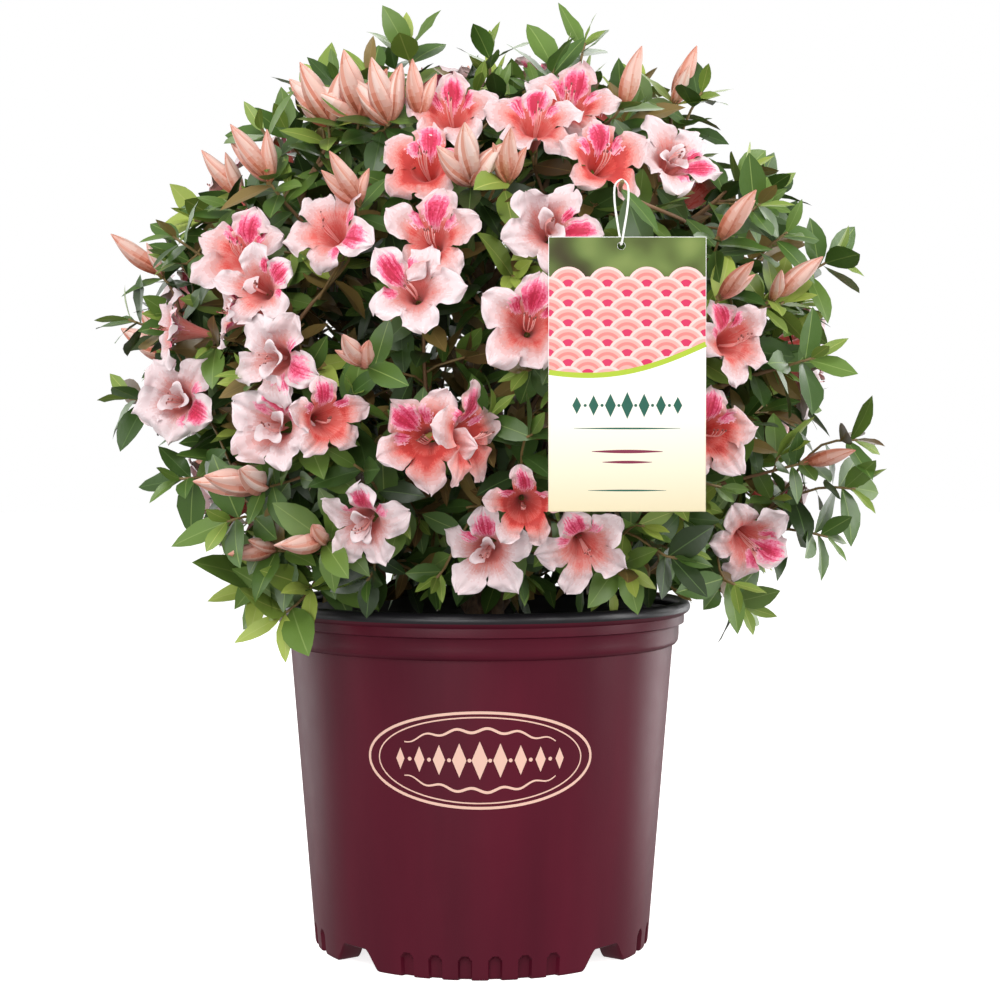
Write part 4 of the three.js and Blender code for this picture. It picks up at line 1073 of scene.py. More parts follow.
class Tree:
    """The twigs of one mass, and the places where one more can start"""

    def __init__(self, mass):
        foot, way = stem_foot(mass)
        self.stem = np.array([foot, foot + way * STEM_LENGTH])
        self.twigs = []
        self.at, self.way, self.path = [self.stem[1]], [way], [0.0]
        self.twig, self.piece, self.used = [-1], [0], [False]

    def place(self, at, way, path, twig, piece):
        self.at.append(at)
        self.way.append(way)
        self.path.append(path)
        self.twig.append(twig)
        self.piece.append(piece)
        self.used.append(False)

    def cheapest(self, end):
        at, way = np.array(self.at), np.array(self.way)
        step = end - at
        reach = np.linalg.norm(step, axis=1) + 1e-9
        straight = np.einsum("ij,ij->i", step, way) / reach
        cost = reach + PATH_COST * np.array(self.path)
        bent = (np.array(self.twig) >= 0) & (straight < WIDEST_FORK)
        cost[bent | np.array(self.used)] = np.inf
        return int(np.argmin(cost)), float(cost.min())

    def grow(self, tip, places, step):
        start, cost = self.cheapest(tip["end"])
        if not np.isfinite(cost):
            return
        self.used[start] = self.twig[start] >= 0
        at, path = self.at[start], self.path[start]
        length = np.linalg.norm(tip["end"] - at)
        start_way = unit(mixed(self.way[start], unit(tip["end"] - at), FORK_TURN))
        steps = max(2, round(length / step))
        handles = curve_between(at, start_way, tip["end"], tip["way"])
        points = curve_points(handles, np.arange(steps + 1) / steps)
        number = len(self.twigs)
        parent = (self.twig[start], self.piece[start])
        self.twigs.append(dict(tip=tip, points=points, handles=handles, parent=parent, path=path))
        self.open_places(number, places)

    def open_places(self, number, places, last_places=()):
        """Places along one twig where more can start, in shares of each piece and of its last"""
        points, path = self.twigs[number]["points"], self.twigs[number]["path"]
        for piece in range(len(points) - 1):
            way = unit(points[piece + 1] - points[piece])
            reach = np.linalg.norm(points[piece + 1] - points[piece])
            for share in last_places if piece == len(points) - 2 else places:
                spot = mixed(points[piece], points[piece + 1], share)
                self.place(spot, way, path + reach * share, number, piece)
            path += reach


def grow_main(mass, tips):
    tree = Tree(mass)
    for tip in sorted(tips, key=lambda t: np.linalg.norm(t["end"] - tree.stem[0])):
        tree.grow(tip, FORK_PLACES, TWIG_STEP)
    return tree


TREES = [grow_main(mass, tips) for mass, tips in zip(MASSES, TIPS)]
print("main twigs:", sum(len(tree.twigs) for tree in TREES))

# %% Air in front of the blooms
VIEW_LENGTH, FACING_LENGTH = 130.0, 60.0
# Gaps of the front, by turn and rise, that show the stems inside
GAPS = ((-19, 4), (-5, -26), (22, 3))
GAP_DEPTH, GAP_OUTSIDE = 80.0, 50.0

main_tips = [twig["tip"] for tree in TREES for twig in tree.twigs]
blooms = [tip for tip in main_tips if tip["kind"] == "bloom"]
camera_place = np.array(CAMERA_PLACE)


def tubes_of_sight():
    """The air in front of each open bloom: along its own facing, and towards the camera for
    those whose place was given"""
    tubes = []
    for tip in blooms:
        tubes.append((tip["centre"], tip["way"], FACING_LENGTH))
        if tip.get("given"):
            tubes.append((tip["centre"], unit(camera_place - tip["centre"]), VIEW_LENGTH))
    for turn, rise in GAPS:
        outside = on_shell(heading(turn, rise), 1)
        way = unit(camera_place - outside)
        tubes.append((outside - way * GAP_DEPTH, way, GAP_DEPTH + GAP_OUTSIDE))
    return [np.array(column) for column in zip(*tubes)]


sight = tubes_of_sight()


def clear_of_blooms(points, radius, behind):
    """Whether each point is out of the air in front of every bloom, and of the bloom itself"""
    starts, ways, lengths = sight
    step = points[:, None] - starts[None]
    ahead = np.einsum("ijk,jk->ij", step, ways)
    aside = np.linalg.norm(step - ahead[..., None] * ways[None], axis=2)
    hidden = (ahead > -behind) & (ahead < lengths) & (aside < radius)
    return ~hidden.any(axis=1)


print("tubes of air to keep free:", len(sight[0]))

# %% Fine shoots
FINE_LEAF = 30.0
# Shells of fine shoots: share of the crown's reach, tries, spacing, and how far the reach varies
FINE_SHELLS = ((0.98, 1100, 28.0, 0.18), (0.82, 640, 28.0, 0.14), (0.64, 300, 33.0, 0.1))
FINE_STEP = 20.0
LOWEST_FINE = 250.0
# Where fine shoots may leave a piece of a main twig, and where its last piece
OPEN_PLACES, LAST_OPEN_PLACES = (0.15, 0.55, 0.9), (0.15, 0.55)
# Small blooms: outermost shell only, behind this, above this, this often, this far from others
LEAST_SHELL, LEAST_BACK, LEAST_HEIGHT = 0.9, 20, 300
SMALL_BLOOM_SHARE, SMALL_BLOOM_SPACING = 0.6, 58
# The body of an open bloom, which leaves and shoots keep out of
BLOOM_RADIUS = 32.0
fine_random = np.random.default_rng(SEED)
# Light-green sprays beside the rim: mass, place and direction
RIM_SPRAYS = (
    ("lower_front_right", (166.0, -104.0, 256.0), (0.7, -0.6, 0.0)),
    ("lower_front_left", (-136.0, -92.0, 278.0), (-0.8, -0.4, 0.2)),
    ("lower_front_left", (-109.0, -120.0, 254.0), (-0.25, -0.85, -0.35)),
)


def is_room_for_bloom(tip, shell):
    """Whether a fine shoot may end in a bloom: on the sides and the back, away from the others"""
    end = tip["end"]
    if shell < LEAST_SHELL or end[1] < LEAST_BACK or end[2] < LEAST_HEIGHT:
        return False
    if fine_random.random() > SMALL_BLOOM_SHARE:
        return False
    blossom = [other["centre"] for other in main_tips + blooms if other["kind"] in ("bloom", "bud")]
    return all(np.linalg.norm(centre - tip["centre"]) > SMALL_BLOOM_SPACING for centre in blossom)


def grow_rim_sprays():
    for mass_name, place, way in RIM_SPRAYS:
        tree = TREES[[mass["name"] for mass in MASSES].index(mass_name)]
        end = np.array(place)
        tip = dict(kind="shoot", centre=end, way=unit(np.array(way)), end=end, fine=True, broad=True)
        tree.grow(tip, FINE_PLACES, FINE_STEP)
        main_tips.append(tip)


def fine_tip(turn, rise, shell, spread):
    """A fine shoot, held back by waves of the crown and turned up a little"""
    waves = noise.noise(tuple(heading(turn, rise) * 2.1)) + 0.5
    reach = shell - spread * fine_random.random()
    reach = reach * (1 - 0.13 * waves) * (1 - hollow(turn, rise))
    tip = shoot_tip(turn, rise, reach, FINE_LEAF)
    tip["fine"] = True
    lift = max(0.0, -tip["way"][2])
    tip["way"] = unit(tip["way"] + UP * lift + fine_random.normal(0, 0.25, 3))
    return tip


def has_room(tip, placed, spacing):
    """Whether a fine shoot is clear of the pot, the card, the blooms and the other shoots"""
    centre = tip["centre"][None]
    if tip["end"][2] < LOWEST_FINE or not clear_of_things(centre)[0]:
        return False
    if not clear_of_blooms(centre, BLOOM_RADIUS, 10)[0]:
        return False
    return np.linalg.norm(np.array(placed) - tip["centre"], axis=1).min() >= spacing


def grow_fine():
    grow_rim_sprays()
    placed = [tip["centre"] for tip in main_tips]
    for shell, count, spacing, spread in FINE_SHELLS:
        for turn, rise in even_headings(count):
            turn += fine_random.uniform(-4, 4)
            rise += fine_random.uniform(-3, 3)
            tip = fine_tip(turn, rise, shell, spread)
            if not has_room(tip, placed, spacing):
                continue
            if is_room_for_bloom(tip, shell):
                tip.update(bloom_tip(turn, rise, forward=0.0), fine=True)
                blooms.append(tip)
            placed.append(tip["centre"])
            tree = TREES[mass_towards(heading(turn, rise))]
            tree.grow(tip, FINE_PLACES, FINE_STEP)


for tree in TREES:
    for number in range(len(tree.twigs)):
        tree.open_places(number, OPEN_PLACES, LAST_OPEN_PLACES)
grow_fine()
sight = tubes_of_sight()
print("twigs with fine shoots:", sum(len(tree.twigs) for tree in TREES))

# %% Thickness of the twigs
TIP_RADIUS = 0.9
THICKENING = 0.42


def tip_loads(tree):
    """How many tips hang on each point of each twig"""
    loads = [np.zeros(len(twig["points"])) for twig in tree.twigs]
    for number, twig in enumerate(tree.twigs):
        at, last = number, len(twig["points"]) - 1
        while at >= 0:
            loads[at][: last + 1] += 1
            at, last = tree.twigs[at]["parent"]
    return loads


def radius_of(load):
    return np.minimum(LIMB_TIP_RADIUS, TIP_RADIUS * np.asarray(load) ** THICKENING)


print("radius of a twig with ten tips, mm:", radius_of(10))

# %% [markdown]
# ## Bark
# Old azalea wood is grey-brown, with fine lengthwise ridges, and the young shoots are green to
# reddish. A bump alone would leave the outline of the trunk smooth. So the trunk and boughs get a
# mesh with real relief: noise that is drawn out along the limb pushes each point in or out. The
# twigs are too thin for that and get a bump instead.

# %% Barked tubes
BARK_RELIEF = 0.09
RIDGES_ROUND, RIDGES_ALONG = 2.6, 0.045
KNOTS_ALONG, KNOT_SHARE = 0.02, 0.6
TRUNK_SIDES, LIMB_SIDES = 40, 16
# The trunk's closed top is rounded in by these shares of its radius, and its foot is in the mix
TOP_ROUNDING = (0.93, 0.75, 0.3)
FOOT_IN_MIX = 8


def barked_tube(pile, points, radii, sides, slot):
    """A tube whose points are pushed in and out by ridges that run along it"""
    ring, faces = tube(points, radii, sides)
    grid = ring.reshape(len(points), sides, 3)
    along = np.concatenate([[0], np.cumsum(np.linalg.norm(np.diff(points, axis=0), axis=1))])
    turn = np.arange(sides) * 2 * math.pi / sides
    for i, middle in enumerate(points):
        for side in range(sides):
            across, over = math.cos(turn[side]), math.sin(turn[side])
            ridge = (across * RIDGES_ROUND, over * RIDGES_ROUND, along[i] * RIDGES_ALONG)
            knots = (across, over, along[i] * KNOTS_ALONG)
            push = noise.noise(ridge) + KNOT_SHARE * noise.noise(knots)
            grid[i, side] += (grid[i, side] - middle) * BARK_RELIEF * push * 2
    pile.add(grid, faces, [slot, slot])


def add_trunk(pile):
    shares = np.linspace(0, 1.02, 44)
    flare, foot, top = TRUNK_RADII
    radii = foot + (top - foot) * shares + np.maximum(0, 1 - shares * 4) ** 2 * (flare - foot)
    radii[-3:] *= TOP_ROUNDING
    points = np.array([trunk_point(share) for share in shares])
    points[0, 2] -= FOOT_IN_MIX
    barked_tube(pile, points, radii, TRUNK_SIDES, 0)


def build_wood():
    pile = Pile()
    add_trunk(pile)
    for limb in LIMBS:
        shares = np.linspace(0, 1, 40)
        curve = curve_points(limb["handles"], shares)
        points = np.concatenate([curve, [limb["end"]]])
        radii = [limb_radius(limb, s) for s in shares] + [LIMB_TIP_RADIUS]
        barked_tube(pile, points, radii, LIMB_SIDES, 0)
    return pile


def bark(name, dark, light, grain, strength):
    material, tree, shader = new_material(name, dark, 0.85)
    vary_colour(tree, shader, noise_of(tree, grain, 5.0), [(0.35, dark), (0.65, light)])
    add_bump(tree, shader, noise_of(tree, grain * 3, 4.0, (1, 1, 0.3)), strength, 0.001)
    return material


old_bark = bark("bark_old", "#463425", "#7a614a", 130.0, 0.7)
wood = mesh_object("trunk_and_boughs", build_wood(), [old_bark])
limb_nodes = [name for name in frame["nodes"] if name.startswith(("bough_", "limb_"))]
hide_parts("trunk", *limb_nodes)

# %% Twig tubes
SHOOT_PAST_END = 14.0
RING_STEP = 12
THICK_TWIG, MIDDLING_TWIG = 2.2, 1.2
OLD_ABOVE, BROWN_ABOVE = 1.9, 1.05
HOOK_LEAST_RADIUS = 1.3


def twig_sides(radius):
    return 8 if radius > THICK_TWIG else 6 if radius > MIDDLING_TWIG else 5


def straight_end(tip):
    """How far a twig runs on past its given end: a main shoot reaches out of the crown"""
    if tip["kind"] == "shoot" and not tip.get("fine"):
        return SHOOT_PAST_END
    return tip.get("straight", 0.0)


def add_twig(pile, twig, load):
    length = np.linalg.norm(np.diff(twig["points"], axis=0), axis=1).sum()
    rings = max(4, round(length / RING_STEP))
    shares = np.linspace(0, 1, rings + 1)
    path = curve_points(twig["handles"], shares)
    radii = np.interp(shares * (len(load) - 1), np.arange(len(load)), radius_of(load))
    past = straight_end(twig["tip"])
    if past:
        path = np.concatenate([path, [path[-1] + twig["tip"]["way"] * past]])
        radii = np.concatenate([radii, [radii[-1]]])
    if twig["tip"]["kind"] == "hook":
        radii = np.maximum(radii, HOOK_LEAST_RADIUS)
    twig["path_points"] = path
    ring, faces = tube(path, radii, twig_sides(radii[0]), roll=0.4)
    middles = np.repeat((radii[1:] + radii[:-1]) / 2, len(ring) // len(path))
    ages = np.where(middles > OLD_ABOVE, 0, np.where(middles > BROWN_ABOVE, 1, 2))
    pile.add(ring, faces, [ages, 2])


def build_twigs():
    pile = Pile()
    for mass_tree in TREES:
        stem_radius = radius_of(len(mass_tree.twigs))
        ring, faces = tube(mass_tree.stem, [LIMB_TIP_RADIUS, stem_radius], 8)
        pile.add(ring, faces, [0, 0])
        for twig, load in zip(mass_tree.twigs, tip_loads(mass_tree)):
            add_twig(pile, twig, load)
    return pile


twig_materials = [
    surface("twig_old", "#634c35", 0.8, 300.0, 0.5, 0.0006),
    surface("twig_brown", "#856445", 0.7, 300.0, 0.4, 0.0005),
    surface("twig_green", "#80693f", 0.55, 300.0, 0.3, 0.0004),
]
twigs = mesh_object("twigs", build_twigs(), twig_materials)

# %% [markdown]
# ## Leaves
# An azalea's leaf is a small pointed ellipse, 3 to 4.5 cm long, folded a little along its rib and
# curved down towards its tip. Leaves stand in whorls under each tip and thin out down the shoot. A
# flat card with a picture of a leaf would be lighter, but its edge and rib have no form. So one
# shape of a few faces is laid out once, and an array places it at every leaf's root, with a bend,
# fold and tone of its own. The tones are plain colours: dark green and brown for old leaves and
# for sprays deep in the crown, where they are partly painted shade, and light yellow-green for the
# young ones that stand upright in the middle of a whorl.

# %% The leaf's own shape
# Rows of the blade: place along the leaf and half width
LEAF_ROWS = ((0.06, 0.26), (0.19, 0.67), (0.35, 0.94), (0.53, 1.0), (0.7, 0.82), (0.86, 0.45))
RIB_HALF_WIDTH = 0.036
LEAF_LENGTH = 33.0
LEAF_WIDTH = 0.47


def leaf_shape():
    """Points as (along, across), with the faces of the blade and of the rib"""
    points = [(0, -RIB_HALF_WIDTH), (0, RIB_HALF_WIDTH)]
    for along, half in LEAF_ROWS:
        points += [(along, -half), (along, -RIB_HALF_WIDTH), (along, RIB_HALF_WIDTH), (along, half)]
    points.append((1, 0))
    tip = len(points) - 1
    blade_quads, rib_quads = [], [(0, 3, 4, 1)]
    for row in range(len(LEAF_ROWS) - 1):
        a, b = 2 + row * 4, 6 + row * 4
        blade_quads += [(a, b, b + 1, a + 1), (a + 2, b + 2, b + 3, a + 3)]
        rib_quads.append((a + 1, b + 1, b + 2, a + 2))
    last = tip - 4
    blade_tris = [(0, 2, 3), (1, 4, 5), (last, tip, last + 1), (last + 2, tip, last + 3)]
    rib_tris = [(last + 1, tip, last + 2)]
    return np.array(points, float), blade_quads, rib_quads, blade_tris, rib_tris


LEAF_POINTS, *LEAF_FACES = leaf_shape()
print("a leaf has", sum(len(f) * (len(f[0]) - 2) for f in LEAF_FACES), "triangles")

# %% Tones and habit of the leaves
LEAF_START = {"shoot": 0.5, "bloom": 7.0, "bud": 4.0, "hook": 22.0}
# Light to dark greens, then two browns; the darkest greens and browns of inner sprays are partly painted
# shade
LEAF_TONES = ("#9aab4b", "#7c933e", "#607c34", "#4a682a", "#3a5423", "#2b3e1c", "#7f6b3b", "#644e2c")
RIB_TONES = ("#a8b35e", "#7b924c", "#506a36", "#8d7747")
FIRST_BROWN = 6
# The large light sprays over the rim at the lower left: left of this, below this, size and tone
LARGE_LEFT_OF, LARGE_BELOW, LARGE_SIZE, LARGE_TONE = -100, 285, 1.62, 1.3
leaf_random = np.random.default_rng(SEED + 1)


def spray_tone(tip):
    """One tone for a whole spray, and the share of its leaves that are brown: inner sprays are darker
    and browner, partly as old leaves and partly as painted shade, and the outer ones are young and
    light more often"""
    depth = np.linalg.norm((tip["end"] - CROWN) / (CROWN_WIDE, CROWN_WIDE, CROWN_TALL))
    # Inner sprays: darker tones and more brown leaves, partly old leaves and partly painted shade
    return 5.2 - 3.5 * depth + leaf_random.normal(0, 1.05), 0.28 if depth < 0.8 else 0.04


def habit_of(tip):
    """How the leaves of one shoot look: size, tone, share of brown ones, number of young ones, and
    whether they are broad"""
    size = leaf_random.uniform(0.8, 1.16)
    tone, brown_share_old_and_shade = spray_tone(tip)
    young_count = leaf_random.integers(1, 4) if tip["kind"] == "shoot" else 0
    broad = tip["kind"] == "shoot" and (tip.get("given") or tip.get("broad"))
    if broad:
        size, tone, young_count = leaf_random.uniform(1.0, 1.2), leaf_random.uniform(1.6, 3.2), 2
        if tip["end"][0] < LARGE_LEFT_OF and tip["end"][2] < LARGE_BELOW:
            size, tone, brown_share_old_and_shade = LARGE_SIZE, LARGE_TONE, 0.0
    return size, tone, brown_share_old_and_shade, young_count, broad


print("leaf tones:", len(LEAF_TONES), "and rib tones:", len(RIB_TONES))

# %% Places of the leaves
WHORL = 6
WHORL_STEP = 2.2
STEM_LEAF_STEP = 8.0
LEAFY_LENGTH, BARE_LENGTH = 54.0, 6
# Spread from the shoot in radians: of the first leaf, of each further one, and at most
FIRST_SPREAD = {"shoot": 0.3, "bloom": 1.3, "bud": 0.95, "hook": 1.0}
BROAD_SPREAD, SPREAD_STEP, WIDEST_SPREAD = 0.55, 0.17, 1.5
LEAF_SAG = 0.08
YOUNG_LENGTH, YOUNG_WIDTH, YOUNG_LIGHTER = 0.66, 0.78, 1.3
LENGTH_RANGE = (0.82, 1.12)


def place_back(path, back):
    """A point at a distance back from a path's end, and the direction there"""
    steps = np.diff(path, axis=0)
    lengths = np.linalg.norm(steps, axis=1)
    for i in range(len(steps) - 1, -1, -1):
        if back <= lengths[i]:
            return path[i + 1] - steps[i] * back / lengths[i], steps[i] / lengths[i]
        back -= lengths[i]
    return None, None


def leaf_tone_of(tone, number, young, brown_share_old_and_shade):
    level = tone - YOUNG_LIGHTER if young else tone + 0.12 * number + leaf_random.normal(0, 0.4)
    if leaf_random.random() < brown_share_old_and_shade:
        return int(leaf_random.integers(FIRST_BROWN, len(LEAF_TONES)))
    return int(np.clip(round(level), 0, FIRST_BROWN - 1))


def leaves_of(twig):
    """Root, direction, upper side, length, width and tone of each leaf of a twig"""
    kind = twig["tip"]["kind"]
    path = twig["path_points"]
    whole = np.linalg.norm(np.diff(path, axis=0), axis=1).sum()
    back = LEAF_START[kind]
    turn = leaf_random.random() * WHOLE_TURN
    size, tone, brown_share_old_and_shade, young_count, broad = habit_of(twig["tip"])
    first_spread = BROAD_SPREAD if broad else FIRST_SPREAD[kind]
    # Leaves of the front turn a little to the light that comes from there
    front_share = float(np.clip(0.5 - twig["tip"]["end"][1] / 220, 0, 1))
    number = 0
    while back < min(whole - BARE_LENGTH, LEAFY_LENGTH):
        at, way = place_back(path, back)
        spread = min(WIDEST_SPREAD, first_spread + SPREAD_STEP * number + leaf_random.normal(0, 0.12))
        turn += GOLDEN_ANGLE + leaf_random.normal(0, 0.2)
        out = sideways(way, turn)
        leaf_way = unit(way * math.cos(spread) + out * math.sin(spread) - UP * LEAF_SAG)
        face = unit(mixed(way, UP, 0.5) + FRONT * front_share * 0.5 + leaf_random.normal(0, 0.24, 3))
        young = number < young_count
        length = LEAF_LENGTH * size * (YOUNG_LENGTH if young else leaf_random.uniform(*LENGTH_RANGE))
        leaf_tone = leaf_tone_of(tone, number, young, brown_share_old_and_shade)
        yield at, leaf_way, face, length, YOUNG_WIDTH if young else 1.0, leaf_tone
        number += 1
        back += WHORL_STEP if number < WHORL else STEM_LEAF_STEP * leaf_random.uniform(0.8, 1.3)


print("leafy length of a shoot:", LEAFY_LENGTH, "mm")

# %% Leaves of a whole tree, and which of them stay
LEAF_TEST_PLACES = (0.25, 0.45, 0.65, 0.85, 1.0)


def gather_leaves(trees):
    found = [leaf for tree in trees for twig in tree.twigs for leaf in leaves_of(twig)]
    roots, ways, faces, lengths, widths, tones = (np.array(column) for column in zip(*found))
    across = np.cross(faces, ways)
    across /= np.linalg.norm(across, axis=1)[:, None]
    ups = np.cross(ways, across)
    return dict(root=roots, way=ways, across=across, up=ups, length=lengths, width=widths, tone=tones)


def clear_leaves(leaves):
    """Leaves out that would reach into the pot, the card or the sight of a bloom"""
    kept = np.ones(len(leaves["root"]), bool)
    for share in LEAF_TEST_PLACES:
        points = leaves["root"] + leaves["way"] * (leaves["length"] * share)[:, None]
        kept &= clear_of_things(points)
        kept &= clear_of_blooms(points, BLOOM_RADIUS - 8, 9)
    return {name: column[kept] for name, column in leaves.items()}


print("tests along a leaf:", len(LEAF_TEST_PLACES))

# %% Arrays of leaves
def leaf_points(leaves):
    """The leaf's shape at every place, each bent and folded by its own amount"""
    count = len(leaves["root"])
    along, across = LEAF_POINTS.T
    bend = leaf_random.uniform(0.0, 0.24, count)[:, None]
    fold = leaf_random.uniform(0.02, 0.24, count)[:, None]
    half = (leaf_random.uniform(0.84, 1.12, count) * leaves["width"])[:, None] * LEAF_WIDTH / 2
    twist = leaf_random.normal(0, 0.25, count)[:, None]
    wave = leaf_random.uniform(0.0, 0.03, count)[:, None] * np.sin(along[None] * 9 + across[None] * 2)
    side = across[None] * half
    lift = np.abs(side) * fold - bend * along[None] ** 2 + side * twist * along[None]
    lift = lift + 0.05 * along[None] + wave * np.abs(across[None])
    length = leaves["length"][:, None, None]
    points = leaves["root"][:, None] + length * (
        along[None, :, None] * leaves["way"][:, None]
        + side[..., None] * leaves["across"][:, None]
        + lift[..., None] * leaves["up"][:, None]
    )
    return points


def repeated(faces, count, points_each):
    """The faces of one shape, repeated for count copies of its points"""
    faces = np.asarray(faces)
    starts = np.arange(count)[:, None, None] * points_each
    return (faces[None] + starts).reshape(-1, faces.shape[1])


def build_leaves(leaves):
    pile = Pile()
    count = len(leaves["root"])
    points = leaf_points(leaves)
    faces = [repeated(f, count, len(LEAF_POINTS)) for f in LEAF_FACES]
    blade_tone, rib_tone = leaves["tone"], len(LEAF_TONES) + leaves["tone"] // 2
    each = [len(f) for f in LEAF_FACES]
    tones = [blade_tone, rib_tone, blade_tone, rib_tone]
    pile.add(points, faces, [np.repeat(tone, n) for tone, n in zip(tones, each)])
    return pile


leaf_materials = [
    surface(f"leaf_{i}", tone, 0.45 - 0.02 * i, 240.0, 0.25, 0.0006)
    for i, tone in enumerate(LEAF_TONES)
]
leaf_materials += [
    surface(f"leaf_rib_{i}", tone, 0.5, 300.0, 0.2, 0.0003)
    for i, tone in enumerate(RIB_TONES)
]

for tier_name, tiers in (("upper", ("top", "upper")), ("lower", ("lower",))):
    tier_trees = [tree for tree, mass in zip(TREES, MASSES) if mass["tier"] in tiers]
    tier_leaves = clear_leaves(gather_leaves(tier_trees))
    print(tier_name, "leaves:", len(tier_leaves["root"]))
    piece = mesh_object(f"leaves_{tier_name}", build_leaves(tier_leaves), leaf_materials)
    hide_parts(*[f"foliage_{m['name']}" for m in MASSES if m["tier"] in tiers])

# %% [markdown]
# ## Blooms
# A bloom is a funnel that opens into five broad, ruffled lobes. Their edges are almost white: the
# petals' own pale rim, made paler still by a painted highlight where the edges curl back. The
# middles are salmon, the throat coral, and one lobe has a speckled crimson blotch that spills on
# to its neighbours. A sculpted bloom could be copied, but then all would have the same ruffles.
# Here each lobe is a grid of its own: one direction runs from the twig to the lobe's tip, along a
# line that first follows the tube and then bends outwards, and the other runs across. Every face
# gets the plain colour of its place, with a little seeded scatter, so that the colours blend.

# %% Colours of the petals
PETAL_TONES = (
    "#e4d3d5", "#dfcacc", "#dabdbe", "#d5abaa", "#d29894",
    "#d68e88", "#d47a73", "#d2645c", "#cc4d45", "#bd3a34",
)
BLOTCH_TONES = ("#f1b4c1", "#ee9bb0", "#e97d9b", "#e25f83", "#d8446b", "#cb2f54", "#ba2444")


def petal(name, tone):
    """A petal's surface: hardly shiny, with a faint sheen"""
    return surface(name, tone, 0.52, 500.0, 0.25, 0.0003, specular=0.3, sheen=0.15)


petal_materials = [petal(f"petal_{i}", tone) for i, tone in enumerate(PETAL_TONES)]
petal_materials += [petal(f"blotch_{i}", tone) for i, tone in enumerate(BLOTCH_TONES)]
FIRST_BLOTCH = len(PETAL_TONES)
STAMEN_SLOT = FIRST_BLOTCH + len(BLOTCH_TONES)
ANTHER_SLOT, CALYX_SLOT = STAMEN_SLOT + 1, STAMEN_SLOT + 2
petal_materials += [
    surface("stamen_pink", "#f0b0aa", 0.45, 400.0, 0.2, 0.0002),
    surface("anther_brown", "#8a4a42", 0.6, 400.0, 0.3, 0.0003),
    surface("calyx_green", "#8d8546", 0.55, 400.0, 0.3, 0.0003),
]
print("petal colours:", len(PETAL_TONES) + len(BLOTCH_TONES))

# %% Outline of one lobe
TUBE_SHARE = 0.34
LOBES = 5
HALF_LOBE = math.radians(36)
TUBE_FOOT_RADIUS = 1.8
# Lean from the flower's axis, in degrees, at each share of a lobe's length
LEAN_PLACES = (0, 0.2, TUBE_SHARE, 0.46, 0.6, 0.76, 0.9, 1.0)
LEANS = (10, 16, 30, 50, 66, 78, 94, 116)
LEAN_DROOP = (0, 0, 0, 0.1, 0.5, 1.0, 1.5, 2.0)
# Places along a lobe: where its blade begins, where it is free of its neighbours, and its broadest
BLADE_START, BLADE_FREE, BLADE_BROADEST = 0.44, 0.6, 0.74
OVERLAP = 1.3
LEAST_TIP = 0.12


def lobe_line(shares, tube_length, lobe_length, droop, openness):
    """Radius and height along a lobe's middle, and its lean at each place"""
    opened = np.array(LEANS) * np.where(np.array(LEAN_PLACES) > TUBE_SHARE, openness, 1)
    lean = np.radians(np.interp(shares, LEAN_PLACES, opened + np.array(LEAN_DROOP) * droop))
    speed = np.where(shares < TUBE_SHARE, tube_length / TUBE_SHARE, lobe_length / (1 - TUBE_SHARE))
    step = np.diff(shares, prepend=0.0) * speed
    return TUBE_FOOT_RADIUS + np.cumsum(np.sin(lean) * step), np.cumsum(np.cos(lean) * step), lean


def lobe_half_width(shares, radius, half_width, point):
    """Half the lobe's width: the tube's fifth at first, then a broad blade that narrows to its tip"""
    closed = radius * HALF_LOBE
    opening = np.interp(shares, (BLADE_START, BLADE_BROADEST), (0.0, 1.0))
    start = np.interp(BLADE_START, shares, closed)
    blade = start + (half_width - start) * np.sin(opening * math.pi / 2)
    tip = np.clip((shares - BLADE_BROADEST) / (1 - BLADE_BROADEST), 0, 1)
    blade = blade * np.maximum(LEAST_TIP, (1 - tip**2.0) ** point)
    widest = closed * np.interp(shares, (BLADE_START, BLADE_FREE), (1, OVERLAP))
    return np.where(shares < BLADE_START, closed, np.minimum(blade, widest))


print("a lobe's tip leans", LEANS[-1], "degrees")

# %% Ruffled surface of one lobe
LOBE_LENGTH = 33.0
LOBE_HALF_WIDTH = 15.0
# How much of the bloom's depth a lobe of full size takes
LOBE_DEPTH = 13.0


def band(value, middle, spread):
    """1 at the middle, and fading to 0 on both sides"""
    return np.exp(-(((value - middle) / spread) ** 2))


def lobe_relief(u, v, phase, random):
    """How far each point is lifted: the lobe is cupped near the throat, arched back near its tip,
    creased along its middle, and waved by frills whose height grows towards its edges"""
    side = np.sign(v)
    cup = 1.8 - 4.6 * smoothstep(0.58, 0.95, u) + random.normal(0, 0.9)
    edge = np.abs(v) ** 2
    frill = 2.8 * edge * np.sin(u * 19 + phase[3] + side * phase[4])
    fine_frill = 1.0 * edge * np.sin(u * 41 + phase[5] + side * 2)
    tip_wave = 1.5 * smoothstep(0.78, 1.0, u) * np.sin(v * 4.6 + phase[6])
    billow = 0.9 * np.sin(u * 8 + v * 3 + phase[7])
    rib = -1.0 * band(v, 0, 0.15) + 0.3 * np.sin(v * 12 + u * 3 + phase[2])
    twist = random.normal(0, 1.6) * v
    return cup * v**2 + frill + fine_frill + tip_wave + billow + rib + twist


